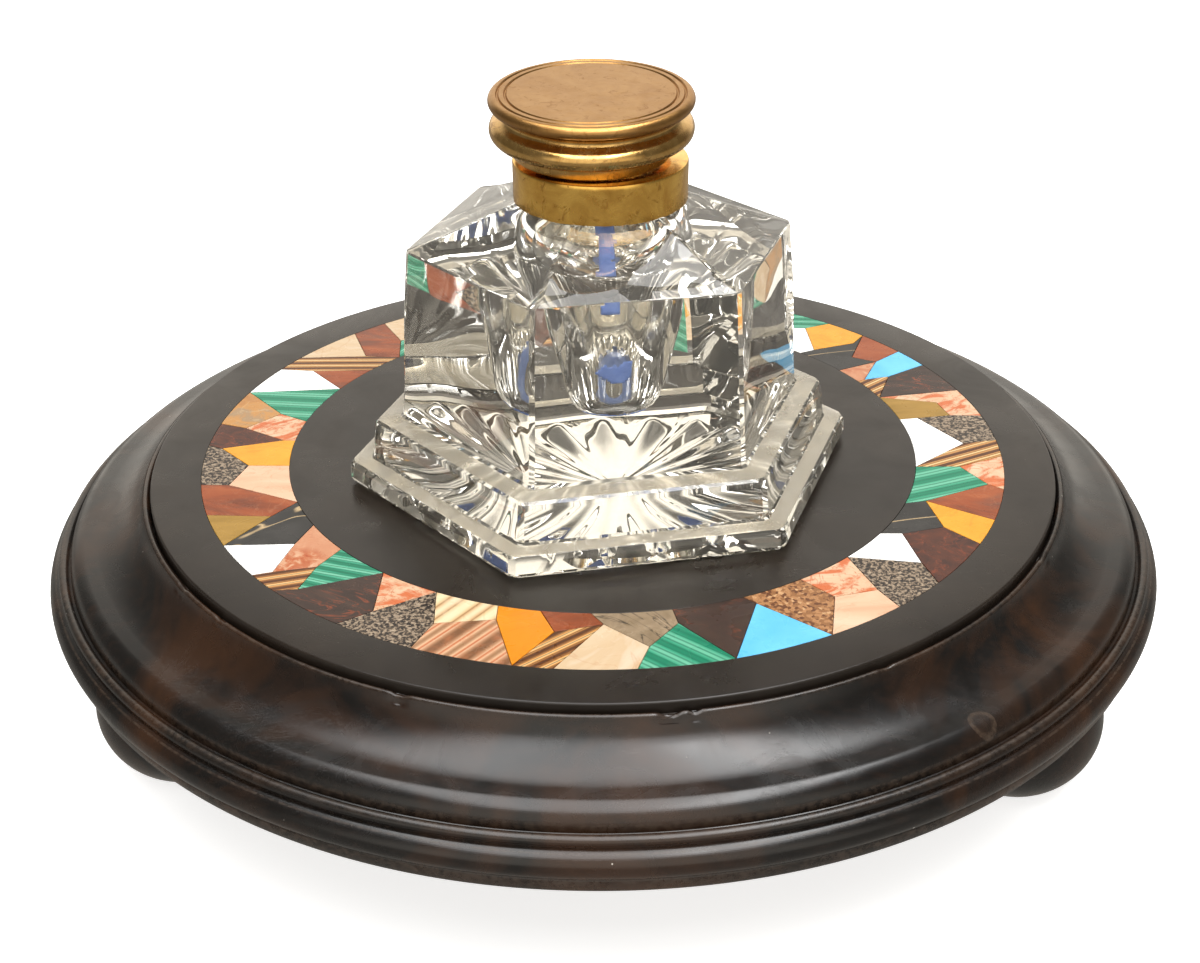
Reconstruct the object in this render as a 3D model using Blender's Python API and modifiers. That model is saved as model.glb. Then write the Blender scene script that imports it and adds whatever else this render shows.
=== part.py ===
"""A cut-glass inkwell on a round ebonised stand with an inlaid slate top.

Blender 4.5, metres, +Z up. The origin is on the ground under the middle of the stand, and the
front of the object faces -Y. The inkwell stands on the slate, a little in front of its centre,
and its hinged brass lid opens towards +Y.
"""

import math

import bmesh
import bpy
from mathutils import Matrix, Vector

MM = 0.001
GAP = 0.3                   # clearance that touching pieces keep, mm

# Driving dimensions, all in millimetres.
SLATE_TOP = 48.0            # height of the polished slate above the ground
SLATE_RADIUS = 87.5
SLATE_THICK = 7.0
INLAY_OUTER = 78.0          # the ring of specimen stones
INLAY_INNER = 61.2
STONE_THICK = 2.0
CEMENT_THICK = 0.5
STAND_BOTTOM = 25.5         # underside of the wooden stand above the ground
FOOT_RADIUS = 16.4
FOOT_CENTRES = 87.3         # distance of each foot from the middle of the stand
FOOT_ANGLES = {"foot_front_right": -29.5, "foot_front_left": -155.0, "foot_rear": 88.0}
TENON_RADIUS = 5.0
TENON_LENGTH = 10.0

WELL_Y = -5.0               # the inkwell's axis stands this far in front of the stand's
GLASS_TURN = 11.06          # degrees that the hexagon is turned
NECK_RADIUS = 13.6
NECK_TOP = 59.6             # heights of the inkwell's parts are above the slate
COLLAR_RADIUS = 15.9
COLLAR_WALL = 1.0
COLLAR_LOW = 53.5
COLLAR_TOP = 61.0
COLLAR_LIP = 11.2           # radius of the opening in the collar's inturned top

LID_HEIGHT = 73.0           # the middle of the lid's top face
LID_SHIFT = -1.5            # the worn lid sits to the left of the collar
LID_TILT = 3.2              # degrees that it leans to the front
HINGE_Y = 18.2              # the pin is this far behind the inkwell's axis
HINGE_HEIGHT = 61.9
KNUCKLE_RADIUS = 1.7
PIN_RADIUS = 0.7

# Corners of the stones: degrees round the ring and share of the ring's width, 0 at its inner
# edge and 1 at its outer edge. Neighbours share their corners, so the ring has no holes.
# Each node is one stone, or two small neighbours bedded as one piece.
STONES = {
    "stone_01_striped_and_veined": (
        "striped", [(351, 0), (0, .6), (1, 1), (356, 1), (352, .5)],
        "veined", [(352, .5), (356, 1), (346, 1), (347, .82)]),
    "stone_02_white_and_granite": (
        "white", [(351, 0), (10, 0), (10, .22), (0, .6)],
        "granite", [(10, .22), (10, .63), (9, 1), (1, 1), (0, .6)]),
    "stone_03_olive_and_veined": (
        "olive", [(10, 0), (20, 0), (15, .6), (10, .63), (10, .22)],
        "veined", [(20, 0), (18, 1), (9, 1), (10, .63), (15, .6)]),
    "stone_04_brown_and_striped": (
        "brown", [(20, 0), (27, .42), (28, 1), (18, 1)],
        "striped", [(20, 0), (28, 0), (28, .1), (27, .42)]),
    "stone_05_turquoise_and_coral": (
        "turquoise", [(28, .1), (33, .55), (34, 1), (28, 1), (27, .42)],
        "red", [(28, 0), (34, 0), (33, .55), (28, .1)]),
    "stone_06_brick_and_black": (
        "red", [(33, .55), (37, .4), (42, 1), (34, 1)],
        "black", [(34, 0), (45, 0), (44, .2), (41, .73), (42, 1), (37, .4), (33, .55)]),
    "stone_07_yellow_and_green": (
        "yellow", [(44, .2), (51, .68), (49, 1), (42, 1), (41, .73)],
        "malachite", [(51, .68), (53, .58), (56, 1), (49, 1)]),
    "stone_08_white": ("white", [(45, 0), (54, 0), (53, .58), (51, .68), (44, .2)]),
    "stone_09_pink_and_olive": (
        "pink", [(54, 0), (64, 0), (60, .5), (53, .58)],
        "olive", [(53, .58), (60, .5), (63, 1), (56, 1)]),
    "stone_10_granite_and_red": (
        "granite", [(60, .5), (64, 0), (72, .6), (71, 1), (63, 1)],
        "red", [(64, 0), (76, 0), (72, .6)]),
    "stone_11_malachite": ("malachite", [(72, .6), (76, 0), (86, 0), (82, 1), (71, 1)]),
    "stone_12_cream_and_black": (
        "cream", [(86, 0), (94, 0), (90, .6)],
        "black", [(82, 1), (86, 0), (90, .6), (92, 1)]),
    "stone_13_yellow_and_striped": (
        "yellow", [(90, .6), (94, 0), (101, .5), (102, 1), (92, 1)],
        "striped", [(94, 0), (107, 0), (101, .5)]),
    "stone_14_maroon_and_white": (
        "maroon", [(101, .5), (107, 0), (112, .7), (111, 1), (102, 1)],
        "white", [(107, 0), (118, 0), (112, .7)]),
    "stone_15_orange": ("orange", [(112, .7), (118, 0), (121, 1), (111, 1)]),
    "stone_16_cream_and_green": (
        "cream", [(118, 0), (125, .3), (131, .4), (129, 1), (121, 1)],
        "malachite", [(118, 0), (136, 0), (131, .4), (125, .3)]),
    "stone_17_red": ("red", [(131, .4), (136, 0), (140, .35), (135, 1), (129, 1)]),
    "stone_18_cream_and_striped": (
        "cream", [(140, .35), (147, 1), (135, 1)],
        "striped", [(136, 0), (144, 0), (150, .61), (152, 1), (147, 1), (140, .35)]),
    "stone_19_red_and_white": (
        "red", [(144, 0), (154, 0), (150, .61)],
        "white", [(150, .61), (154, 0), (161, 1), (152, 1)]),
    "stone_20_malachite": ("malachite", [(154, 0), (169, 0), (167, .37), (161, 1)]),
    "stone_21_amber": ("orange", [(167, .37), (173, .67), (172, 1), (161, 1)]),
    "stone_22_veined_and_maroon": (
        "veined", [(169, 0), (177, 0), (177, .14), (173, .67), (167, .37)],
        "maroon", [(173, .67), (177, .14), (180, .83), (179, 1), (172, 1)]),
    "stone_23_yellow": ("yellow", [(177, 0), (187, 0), (186, .47), (180, .83), (177, .14)]),
    "stone_24_granite": ("granite", [(180, .83), (186, .47), (192, .69), (191, 1), (179, 1)]),
    "stone_25_pink": ("pink", [(187, 0), (201, 0), (192, .69), (186, .47)]),
    "stone_26_red_and_olive": (
        "red", [(192, .69), (201, 0), (204, .35), (200, 1), (191, 1)],
        "olive", [(204, .35), (209, 1), (200, 1)]),
    "stone_27_black": ("black", [(201, 0), (210, 0), (214, .34), (209, 1), (204, .35)]),
    "stone_28_white_and_striped": (
        "white", [(214, .34), (219, .8), (218, 1), (209, 1)],
        "striped", [(219, .8), (222, .4), (225, .8), (223, 1), (218, 1)]),
    "stone_29_pink": ("pink", [(210, 0), (220, 0), (222, .4), (219, .8), (214, .34)]),
    "stone_30_malachite": ("malachite", [(220, 0), (231, 0), (225, .8), (222, .4)]),
    "stone_31_brown": ("brown", [(231, 0), (237, .62), (235, 1), (223, 1), (225, .8)]),
    "stone_32_veined_and_granite": (
        "veined", [(231, 0), (242, 0), (237, .62)],
        "granite", [(242, 0), (246, .52), (246, 1), (235, 1), (237, .62)]),
    "stone_33_cream_and_banded": (
        "cream", [(242, 0), (253, 0), (254, .25), (246, .52)],
        "banded", [(246, .52), (254, .25), (259, 1), (246, 1)]),
    "stone_34_orange": ("orange", [(253, 0), (260, 0), (263, .36), (259, 1), (254, .25)]),
    "stone_35_red_and_striped": (
        "red", [(260, 0), (268, 0), (270, .2), (263, .36)],
        "striped", [(263, .36), (270, .2), (264, 1), (259, 1)]),
    "stone_36_cream_and_grey": (
        "cream", [(270, .2), (276, .63), (274, 1), (264, 1)],
        "banded", [(268, 0), (281, 0), (281, .26), (276, .63), (270, .2)]),
    "stone_37_malachite": ("malachite", [(276, .63), (281, .26), (286, 1), (274, 1)]),
    "stone_38_brown_and_turquoise": (
        "brown", [(281, 0), (293, 0), (294, .16), (286, 1), (281, .26)],
        "turquoise", [(294, .16), (299, 1), (286, 1)]),
    "stone_39_granular": ("granular", [(293, 0), (304, 0), (305, .46), (299, 1), (294, .16)]),
    "stone_40_veined_and_pink": (
        "veined", [(304, 0), (315, 0), (311, .64), (305, .46)],
        "pink", [(305, .46), (311, .64), (310, 1), (299, 1)]),
    "stone_41_granite_and_white": (
        "granite", [(315, 0), (321, .65), (318, 1), (310, 1), (311, .64)],
        "white", [(315, 0), (325, 0), (327, .2), (321, .65)]),
    "stone_42_maroon": ("maroon", [(327, .2), (332, .54), (330, 1), (318, 1), (321, .65)]),
    "stone_43_black_and_yellow": (
        "black", [(325, 0), (337, 0), (339, .2), (332, .54), (327, .2)],
        "yellow", [(332, .54), (339, .2), (337, 1), (330, 1)]),
    "stone_44_red_and_malachite": (
        "red", [(339, .2), (347, .82), (346, 1), (337, 1)],
        "malachite", [(337, 0), (351, 0), (352, .5), (347, .82), (339, .2)]),
}

STONE_COLOURS = {
    "malachite": (0.03, 0.30, 0.15), "granite": (0.20, 0.19, 0.18), "white": (0.80, 0.78, 0.75),
    "cream": (0.74, 0.58, 0.40), "red": (0.42, 0.08, 0.03), "maroon": (0.07, 0.025, 0.02),
    "black": (0.015, 0.014, 0.014), "striped": (0.26, 0.13, 0.06), "olive": (0.33, 0.21, 0.05),
    "yellow": (0.72, 0.33, 0.04), "orange": (0.66, 0.27, 0.07), "turquoise": (0.05, 0.35, 0.62),
    "pink": (0.66, 0.45, 0.36), "brown": (0.08, 0.03, 0.02), "veined": (0.68, 0.40, 0.28),
    "banded": (0.42, 0.25, 0.17), "granular": (0.25, 0.13, 0.08),
}


def clear_scene():
    for thing in list(bpy.data.objects):
        bpy.data.objects.remove(thing)


def new_collection(name):
    made = bpy.data.collections.new(name)
    bpy.context.scene.collection.children.link(made)
    return made


def principled(name, colour, roughness, metallic=0.0, transmission=0.0):
    made = bpy.data.materials.new(name)
    made.use_nodes = True
    shader = made.node_tree.nodes["Principled BSDF"]
    shader.inputs["Base Color"].default_value = (*colour, 1.0)
    shader.inputs["Roughness"].default_value = roughness
    shader.inputs["Metallic"].default_value = metallic
    shader.inputs["Transmission Weight"].default_value = transmission
    made.diffuse_color = (*colour, 1.0)
    return made


def place(name, data, finish, where, parent=None, home=None):
    """Link a named object with its finish at a place in millimetres, under its parent if it has one."""
    made = bpy.data.objects.new(name, data)
    (home or PARTS).objects.link(made)
    made.location = Vector(where) * MM
    made.parent = parent
    if finish:
        made.data.materials.append(finish)
    return made


def empty(name, where, parent=None, tilt=0.0):
    made = place(name, None, None, where, parent)
    made.rotation_euler.x = math.radians(tilt)
    return made


def turned(name, profile, finish, where=(0, 0, 0), parent=None, ring=False, steps=60):
    """A turned solid. The profile is (radius, height) pairs that run out and down its outer side."""
    mesh = bpy.data.meshes.new(name)
    count = len(profile)
    edges = [(i, i + 1) for i in range(count - 1)]
    if ring:
        edges.append((count - 1, 0))
    mesh.from_pydata([(r * MM, 0, z * MM) for r, z in profile], edges, [])
    made = place(name, mesh, finish, where, parent)
    screw = made.modifiers.new("turn", "SCREW")
    screw.steps = screw.render_steps = steps
    screw.use_merge_vertices = True
    screw.merge_threshold = 0.00001
    screw.use_smooth_shade = True
    return made


def arc(centre, radius, first, last, count):
    """Points on an arc in the profile plane, from one angle to another in degrees."""
    cr, cz = centre
    step = (last - first) / (count - 1)
    turns = [math.radians(first + step * i) for i in range(count)]
    return [(cr + radius[0] * math.cos(t), cz + radius[1] * math.sin(t)) for t in turns]


def block(name, low, high, where, parent, home=None, finish=None):
    """A box between two corners in millimetres, measured from its own origin."""
    low, high = Vector(low) * MM, Vector(high) * MM
    mesh = bpy.data.meshes.new(name)
    shape = bmesh.new()
    bmesh.ops.create_cube(shape, size=1.0)
    size = high - low
    bmesh.ops.scale(shape, vec=size, verts=shape.verts)
    bmesh.ops.translate(shape, vec=low + size / 2, verts=shape.verts)
    shape.to_mesh(mesh)
    shape.free()
    return place(name, mesh, finish, where, parent, home)


def rod(name, radius, low_x, high_x, where, parent, home=None, finish=None, sides=20):
    """A cylinder along X between two places in millimetres, measured from its own origin."""
    mesh = bpy.data.meshes.new(name)
    shape = bmesh.new()
    bmesh.ops.create_cone(shape, cap_ends=True, segments=sides, radius1=radius * MM, radius2=radius * MM,
                          depth=(high_x - low_x) * MM, matrix=Matrix.Rotation(math.pi / 2, 4, "Y"))
    bmesh.ops.translate(shape, vec=((low_x + high_x) / 2 * MM, 0, 0), verts=shape.verts)
    shape.to_mesh(mesh)
    shape.free()
    return place(name, mesh, finish, where, parent, home)


def upright(name, radius, low_z, high_z, where, parent=None, sides=48):
    """An upright cylindrical cutter between two heights in millimetres."""
    mesh = bpy.data.meshes.new(name)
    shape = bmesh.new()
    bmesh.ops.create_cone(shape, cap_ends=True, segments=sides, radius1=radius * MM, radius2=radius * MM,
                          depth=(high_z - low_z) * MM)
    bmesh.ops.translate(shape, vec=(0, 0, (low_z + high_z) / 2 * MM), verts=shape.verts)
    shape.to_mesh(mesh)
    shape.free()
    return place(name, mesh, None, where, parent, CUTTERS)


def combine(target, tool, operation):
    """Add a Boolean to the target, and hide the tool as a guide."""
    step = target.modifiers.new(tool.name, "BOOLEAN")
    step.operation = operation
    step.solver = "EXACT"
    step.object = tool
    tool.hide_render = True
    tool.display_type = "WIRE"


# The stand.

def make_stand(wood):
    """The turned moulding: a rebate for the slate, a hollow slope, a bead, a roll and a plain lower band."""
    rebate = SLATE_TOP - SLATE_THICK - GAP
    wall = SLATE_RADIUS + GAP
    hollow = arc((101.15, 48.6), (12.4, 9.0), 194, 257, 6)
    shoulder = arc((100.0, 36.1), (3.6, 3.6), 82, 8, 4)
    bead = arc((105.0, 35.2), (1.0, 1.0), 150, -35, 4)
    roll = arc((105.2, 31.5), (2.8, 2.8), 79, -62, 6)
    profile = [(0, rebate), (wall, rebate), (wall, 46.3), (88.3, 46.7), (89.0, 46.5)]
    profile += hollow + shoulder + [(103.8, 35.6)] + bead + roll
    profile += [(106.6, 28.5), (106.4, 26.9), (105.9, 26.2), (105.0, STAND_BOTTOM + 0.4)]
    profile += [(100.0, STAND_BOTTOM), (0, STAND_BOTTOM)]
    stand = turned("stand_moulding", profile, wood)
    for name, where in foot_places():
        socket = upright(name + "_socket", TENON_RADIUS + GAP, -1.0, TENON_LENGTH + GAP,
                         (*where, STAND_BOTTOM))
        combine(stand, socket, "DIFFERENCE")


def foot_places():
    """Each foot's name and its place on the ground."""
    return [(name, (FOOT_CENTRES * math.cos(math.radians(a)), FOOT_CENTRES * math.sin(math.radians(a))))
            for name, a in FOOT_ANGLES.items()]


def make_feet(wood):
    """Three turned bun feet, each with a tenon that is glued into the stand."""
    top = STAND_BOTTOM - GAP
    middle = 14.0
    depth = 15.2
    to_ground = -math.degrees(math.asin(middle / depth))
    bun = arc((0, middle), (FOOT_RADIUS, depth), 47, to_ground, 9)
    profile = [(0, top + TENON_LENGTH), (TENON_RADIUS, top + TENON_LENGTH), (TENON_RADIUS, top)]
    profile += bun + [(0, 0)]
    for name, where in foot_places():
        turned(name, profile, wood, (*where, 0), steps=24)


def make_slate(slate):
    """The slate slab, with a ring-shaped channel sunk for the stones."""
    floor = SLATE_TOP - STONE_THICK - CEMENT_THICK - 2 * GAP
    edge = 0.5
    profile = [(0, SLATE_TOP), (INLAY_INNER, SLATE_TOP), (INLAY_INNER, floor), (INLAY_OUTER, floor),
               (INLAY_OUTER, SLATE_TOP), (SLATE_RADIUS - edge, SLATE_TOP),
               (SLATE_RADIUS, SLATE_TOP - edge), (SLATE_RADIUS, SLATE_TOP - SLATE_THICK),
               (0, SLATE_TOP - SLATE_THICK)]
    turned("slate_slab", profile, slate)


def make_cement_bed(cement):
    """The thin ring of cement under the stones."""
    top = SLATE_TOP - STONE_THICK - GAP
    low = top - CEMENT_THICK
    inner, outer = INLAY_INNER + GAP, INLAY_OUTER - GAP
    turned("inlay_cement_bed", [(inner, top), (outer, top), (outer, low), (inner, low)], cement, ring=True)


# The stones.

def ring_point(corner):
    """A corner's place on the slate in millimetres, with half the joint kept at the ring's edges."""
    degrees, share = corner
    inner, outer = INLAY_INNER + GAP / 2, INLAY_OUTER - GAP / 2
    radius = inner + (outer - inner) * share
    return Vector((math.cos(math.radians(degrees)), math.sin(math.radians(degrees)))) * radius


def area(points):
    pairs = zip(points, points[1:] + points[:1])
    return sum(a.x * b.y - b.x * a.y for a, b in pairs) / 2


def joined_outline(outlines):
    """The outline round one or two neighbouring stones: the side that they share drops out."""
    sides = []
    for corners in outlines:
        if area([ring_point(c) for c in corners]) < 0:
            corners = corners[::-1]
        sides += list(zip(corners, corners[1:] + corners[:1]))
    after = {a: b for a, b in sides if (b, a) not in sides}
    outline = [next(iter(after))]
    while after[outline[-1]] != outline[0]:
        outline.append(after[outline[-1]])
    return outline


def with_arcs(outline):
    """The outline's places, with extra ones where a side runs along the ring's inner or outer edge."""
    points = []
    for first, second in zip(outline, outline[1:] + outline[:1]):
        points.append(ring_point(first))
        turn = (second[0] - first[0] + 180) % 360 - 180
        if first[1] == second[1] and first[1] in (0, 1):
            steps = max(1, round(abs(turn) / 4))
            points += [ring_point((first[0] + turn * i / steps, first[1])) for i in range(1, steps)]
    return points


def shrunk(points, inset):
    """The outline moved inwards by the inset on every side."""
    moved = []
    for i, here in enumerate(points):
        before = (here - points[i - 1]).normalized()
        after = (points[(i + 1) % len(points)] - here).normalized()
        normal_a, normal_b = Vector((-before.y, before.x)), Vector((-after.y, after.x))
        moved.append(here + (normal_a + normal_b) * inset / (1 + normal_a.dot(normal_b)))
    return moved


def make_stone(name, kind, outlines, finishes):
    """One flat stone: its outline as a filled curve, extruded to its thickness."""
    points = shrunk(with_arcs(joined_outline(outlines)), GAP / 2)
    middle = sum(points, Vector((0, 0))) / len(points)
    curve = bpy.data.curves.new(name, "CURVE")
    curve.dimensions = "2D"
    curve.fill_mode = "BOTH"
    curve.extrude = STONE_THICK / 2 * MM
    spline = curve.splines.new("POLY")
    spline.points.add(len(points) - 1)
    spline.use_cyclic_u = True
    for target, point in zip(spline.points, points):
        target.co = (*((point - middle) * MM), 0, 1)
    place(name, curve, finishes[kind], (*middle, SLATE_TOP - STONE_THICK / 2))


def make_stones(finishes):
    for name, entry in STONES.items():
        make_stone(name, entry[0], entry[1::2], finishes)


# The glass inkwell.

def hexagon(radius, height, corner=0.9):
    """A ring of points round a hexagon of this corner radius, each corner cut back a little."""
    points = []
    per_side = 5
    corners = [Vector((math.cos(t), math.sin(t))) * radius
               for t in (math.radians(GLASS_TURN + 60 * k) for k in range(6))]
    for k in range(6):
        start, end = corners[k], corners[(k + 1) % 6]
        cut = corner / (end - start).length
        for i in range(per_side):
            share = cut + (1 - 2 * cut) * i / (per_side - 1)
            flat = start.lerp(end, share)
            points.append((flat.x * MM, flat.y * MM, height * MM))
    return points


def circle(radius, height):
    """A ring of points at the hexagon's angles, but all at one radius."""
    return [(*(Vector((x, y)).normalized() * radius * MM), height * MM) for x, y, _ in hexagon(radius, 0)]


def make_glass(glass, parent):
    """One piece of glass: two stepped plates, a hexagonal body, a sloped shoulder, a neck and the well."""
    rings = [hexagon(r, z) for r, z in [
        (48.3, GAP), (49.2, 1.2), (48.9, 4.0), (48.0, 4.9), (45.2, 4.9), (44.5, 5.6), (43.8, 12.0),
        (42.8, 12.9), (39.4, 12.9), (38.5, 13.6), (36.1, 45.6), (35.8, 45.9)]]
    well = [(9.6, NECK_TOP), (9.0, NECK_TOP - 0.6), (9.0, 52.5), (10.4, 49.6), (12.4, 46.6), (13.4, 43.0),
            (13.2, 35.0), (12.2, 26.0), (10.8, 20.5), (8.2, 17.2), (4.4, 15.8)]
    neck = [(15.3, 52.9), (NECK_RADIUS, 53.1), (NECK_RADIUS, NECK_TOP - 0.5), (NECK_RADIUS - 0.5, NECK_TOP)]
    rings += [circle(r, z) for r, z in neck + well]
    shape = bmesh.new()
    loops = [[shape.verts.new(p) for p in ring] for ring in rings]
    for lower, upper in zip(loops, loops[1:]):
        for i in range(len(lower)):
            j = (i + 1) % len(lower)
            shape.faces.new((lower[i], lower[j], upper[j], upper[i]))
    shape.faces.new(loops[0])
    well_floor = shape.verts.new((0, 0, 15.5 * MM))
    for i in range(len(loops[-1])):
        shape.faces.new((loops[-1][i], loops[-1][(i + 1) % len(loops[-1])], well_floor))
    bmesh.ops.recalc_face_normals(shape, faces=shape.faces)
    mesh = bpy.data.meshes.new("inkwell_glass")
    shape.to_mesh(mesh)
    shape.free()
    place("inkwell_glass", mesh, glass, (0, 0, 0), parent)


def make_collar(brass, parent):
    """The brass collar round the neck, turned in at the top over the rim of the glass."""
    bore = COLLAR_RADIUS - COLLAR_WALL
    under_lip = NECK_TOP + GAP
    profile = [(COLLAR_LIP, COLLAR_TOP), (COLLAR_RADIUS - 0.3, COLLAR_TOP),
               (COLLAR_RADIUS, COLLAR_TOP - 0.3), (COLLAR_RADIUS - 0.1, 57.2), (COLLAR_RADIUS, COLLAR_LOW),
               (bore, COLLAR_LOW), (bore, under_lip), (COLLAR_LIP, under_lip)]
    turned("neck_collar", profile, brass, (0, 0, 0), parent, ring=True, steps=40)


def make_collar_cement(cement, parent):
    """The sleeve of plaster that holds the collar on the neck."""
    outer = COLLAR_RADIUS - COLLAR_WALL - GAP
    inner = NECK_RADIUS + GAP
    top, low = NECK_TOP - 0.4, COLLAR_LOW + 0.2
    profile = [(inner, top), (outer, top), (outer, low), (inner, low)]
    turned("collar_cement", profile, cement, (0, 0, 0), parent, ring=True, steps=40)


# The lid, modelled about the middle of its top face.

def make_lid_plate(brass, parent):
    """The flat top plate, with a rounded edge and two fine engraved rings."""
    groove = 0.25
    profile = [(0, 0)]
    for radius in (15.3, 16.7):
        profile += [(radius - groove, 0), (radius, -groove), (radius + groove, 0)]
    profile += arc((17.3, -1.15), (1.15, 1.15), 80, -70, 5) + [(16.4, -2.3), (0, -2.3)]
    turned("lid_top_plate", profile, brass, (0, 0, 0), parent, steps=40)


def make_lid_ring(brass, parent):
    """The moulded wall of the lid: a hollow under the plate, a roll, and a plain band."""
    top = -2.3 - GAP
    bore = 11.0
    roll = arc((16.4, -6.4), (2.0, 1.9), 70, -80, 6)
    profile = [(bore, top), (16.8, top), (16.3, -3.3), (16.3, -4.0)] + roll
    profile += [(15.5, -8.4), (15.1, -8.9), (14.5, -9.1), (14.5, -10.7), (14.3, -10.9), (bore, -10.9)]
    turned("lid_moulded_ring", profile, brass, (0, 0, 0), parent, ring=True, steps=40)


def make_lid_liner(brass, parent):
    """The dished liner pressed into the lid, which reaches a little way into the collar."""
    fit = 11.0 - GAP
    spigot = 8.6
    profile = [(0, -7.4), (fit, -7.4), (fit, -10.9), (spigot, -10.9), (spigot, -11.9), (spigot - 0.4, -12.2),
               (spigot - 1.4, -12.2), (6.4, -11.0), (3.6, -10.2), (0, -9.9)]
    turned("lid_liner", profile, brass, (0, 0, 0), parent, steps=24)


# The hinge, modelled about the middle of its pin.

def make_collar_leaf(brass, parent):
    """The leaf on the collar: a plate that fits the collar's curve and carries two outer knuckles."""
    leaf = block("hinge_collar_leaf", (-6.0, -3.8, -6.6), (6.0, 0.8, -2.2), (0, 0, 0), parent, finish=brass)
    bed = upright("collar_bed", COLLAR_RADIUS + GAP, -12.0, 8.0, (0, -HINGE_Y, 0), parent, sides=72)
    combine(leaf, bed, "DIFFERENCE")
    inset = 0.1
    for side, (low, high) in {"left": (-6.2, -2.3), "right": (2.3, 6.2)}.items():
        post = block("post_" + side, (low + inset, -1.2, -2.6), (high - inset, 1.1, 0.2),
                     (0, 0, 0), parent, CUTTERS)
        knuckle = rod("knuckle_" + side, KNUCKLE_RADIUS, low, high, (0, 0, 0), parent, CUTTERS)
        combine(leaf, post, "UNION")
        combine(leaf, knuckle, "UNION")
    bore = rod("collar_leaf_bore", PIN_RADIUS + GAP, -8.0, 8.0, (0, 0, 0), parent, CUTTERS)
    combine(leaf, bore, "DIFFERENCE")


def make_lid_leaf(brass, parent):
    """The leaf on the lid: the middle knuckle and a short arm that is soldered to the lid's band."""
    half = 1.95
    leaf = rod("hinge_lid_leaf", KNUCKLE_RADIUS, -half, half, (0, 0, 0), parent, finish=brass)
    side = half - 0.1
    arm = block("lid_leaf_arm", (-side, -2.8, 0.6), (side, 0.6, 2.6), (0, 0, 0), parent, CUTTERS)
    combine(leaf, arm, "UNION")
    bore = rod("lid_leaf_bore", PIN_RADIUS + GAP, -8.0, 8.0, (0, 0, 0), parent, CUTTERS)
    combine(leaf, bore, "DIFFERENCE")


def make_pin(brass, parent):
    """The hinge pin, with its ends peened over outside the knuckles."""
    head = 1.15
    pin = rod("hinge_pin", PIN_RADIUS, -6.6, 6.6, (0, 0, 0), parent, finish=brass)
    for side, (low, high) in {"left": (-7.0, -6.3), "right": (6.3, 7.0)}.items():
        combine(pin, rod("pin_head_" + side, head, low, high, (0, 0, 0), parent, CUTTERS), "UNION")


def main():
    ebony = principled("ebonised_wood", (0.012, 0.009, 0.008), 0.22)
    slate = principled("slate", (0.06, 0.055, 0.052), 0.45)
    cement = principled("cement", (0.55, 0.50, 0.42), 0.9)
    crystal = principled("crystal", (0.95, 0.97, 0.97), 0.02, transmission=1.0)
    brass = principled("brass", (0.72, 0.46, 0.13), 0.28, 1.0)
    satin = principled("satin_brass", (0.66, 0.42, 0.22), 0.42, 1.0)
    stones = {kind: principled(kind, colour, 0.3) for kind, colour in STONE_COLOURS.items()}

    make_stand(ebony)
    make_feet(ebony)
    make_slate(slate)
    make_cement_bed(cement)
    make_stones(stones)

    well_axis = empty("inkwell_axis", (0, WELL_Y, SLATE_TOP))
    make_glass(crystal, well_axis)
    make_collar(brass, well_axis)
    make_collar_cement(cement, well_axis)

    hinge_axis = empty("lid_hinge_axis", (0, HINGE_Y, HINGE_HEIGHT), well_axis)
    make_collar_leaf(brass, hinge_axis)
    make_lid_leaf(brass, hinge_axis)
    make_pin(brass, hinge_axis)
    lid_middle = empty("lid_middle", (LID_SHIFT, -HINGE_Y, LID_HEIGHT - HINGE_HEIGHT), hinge_axis, LID_TILT)
    make_lid_plate(satin, lid_middle)
    make_lid_ring(brass, lid_middle)
    make_lid_liner(brass, lid_middle)


clear_scene()
PARTS = new_collection("inkwell")
CUTTERS = new_collection("cutters")
main()
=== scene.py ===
import math
import random

import bmesh
import bpy
from mathutils import Matrix, Vector, noise


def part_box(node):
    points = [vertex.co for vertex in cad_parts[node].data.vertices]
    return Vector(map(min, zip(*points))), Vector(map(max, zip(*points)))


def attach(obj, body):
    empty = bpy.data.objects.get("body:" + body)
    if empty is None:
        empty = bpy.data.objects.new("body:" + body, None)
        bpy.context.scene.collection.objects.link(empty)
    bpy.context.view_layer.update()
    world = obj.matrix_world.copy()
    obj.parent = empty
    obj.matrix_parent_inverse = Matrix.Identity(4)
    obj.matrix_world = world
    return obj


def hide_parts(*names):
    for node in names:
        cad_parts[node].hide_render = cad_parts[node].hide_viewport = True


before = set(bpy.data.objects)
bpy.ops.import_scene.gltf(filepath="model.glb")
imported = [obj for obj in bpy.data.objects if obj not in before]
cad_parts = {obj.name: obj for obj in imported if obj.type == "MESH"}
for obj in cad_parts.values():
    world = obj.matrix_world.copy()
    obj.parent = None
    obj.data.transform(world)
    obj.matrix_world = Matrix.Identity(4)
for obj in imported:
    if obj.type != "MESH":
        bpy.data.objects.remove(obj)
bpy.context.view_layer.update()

MM = 0.001


# Places in millimetres, most of them read from the frame.

def box_mm(node):
    low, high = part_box(node)
    return low / MM, high / MM


SLATE_LOW, SLATE_HIGH = box_mm("slate_slab")
COLLAR_BOX = box_mm("neck_collar")
SLATE_TOP = SLATE_HIGH.z
SLATE_RADIUS = SLATE_HIGH.x
STAND_BOTTOM = box_mm("stand_moulding")[0].z
STONE_BOTTOM = box_mm("stone_20_malachite")[0].z
BED_MARGIN = 0.3
INLAY_OUTER = box_mm("inlay_cement_bed")[1].x + BED_MARGIN
INLAY_INNER = INLAY_OUTER * 0.7846
WELL_Y = (COLLAR_BOX[0].y + COLLAR_BOX[1].y) / 2
COLLAR_RADIUS = COLLAR_BOX[1].x

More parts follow.
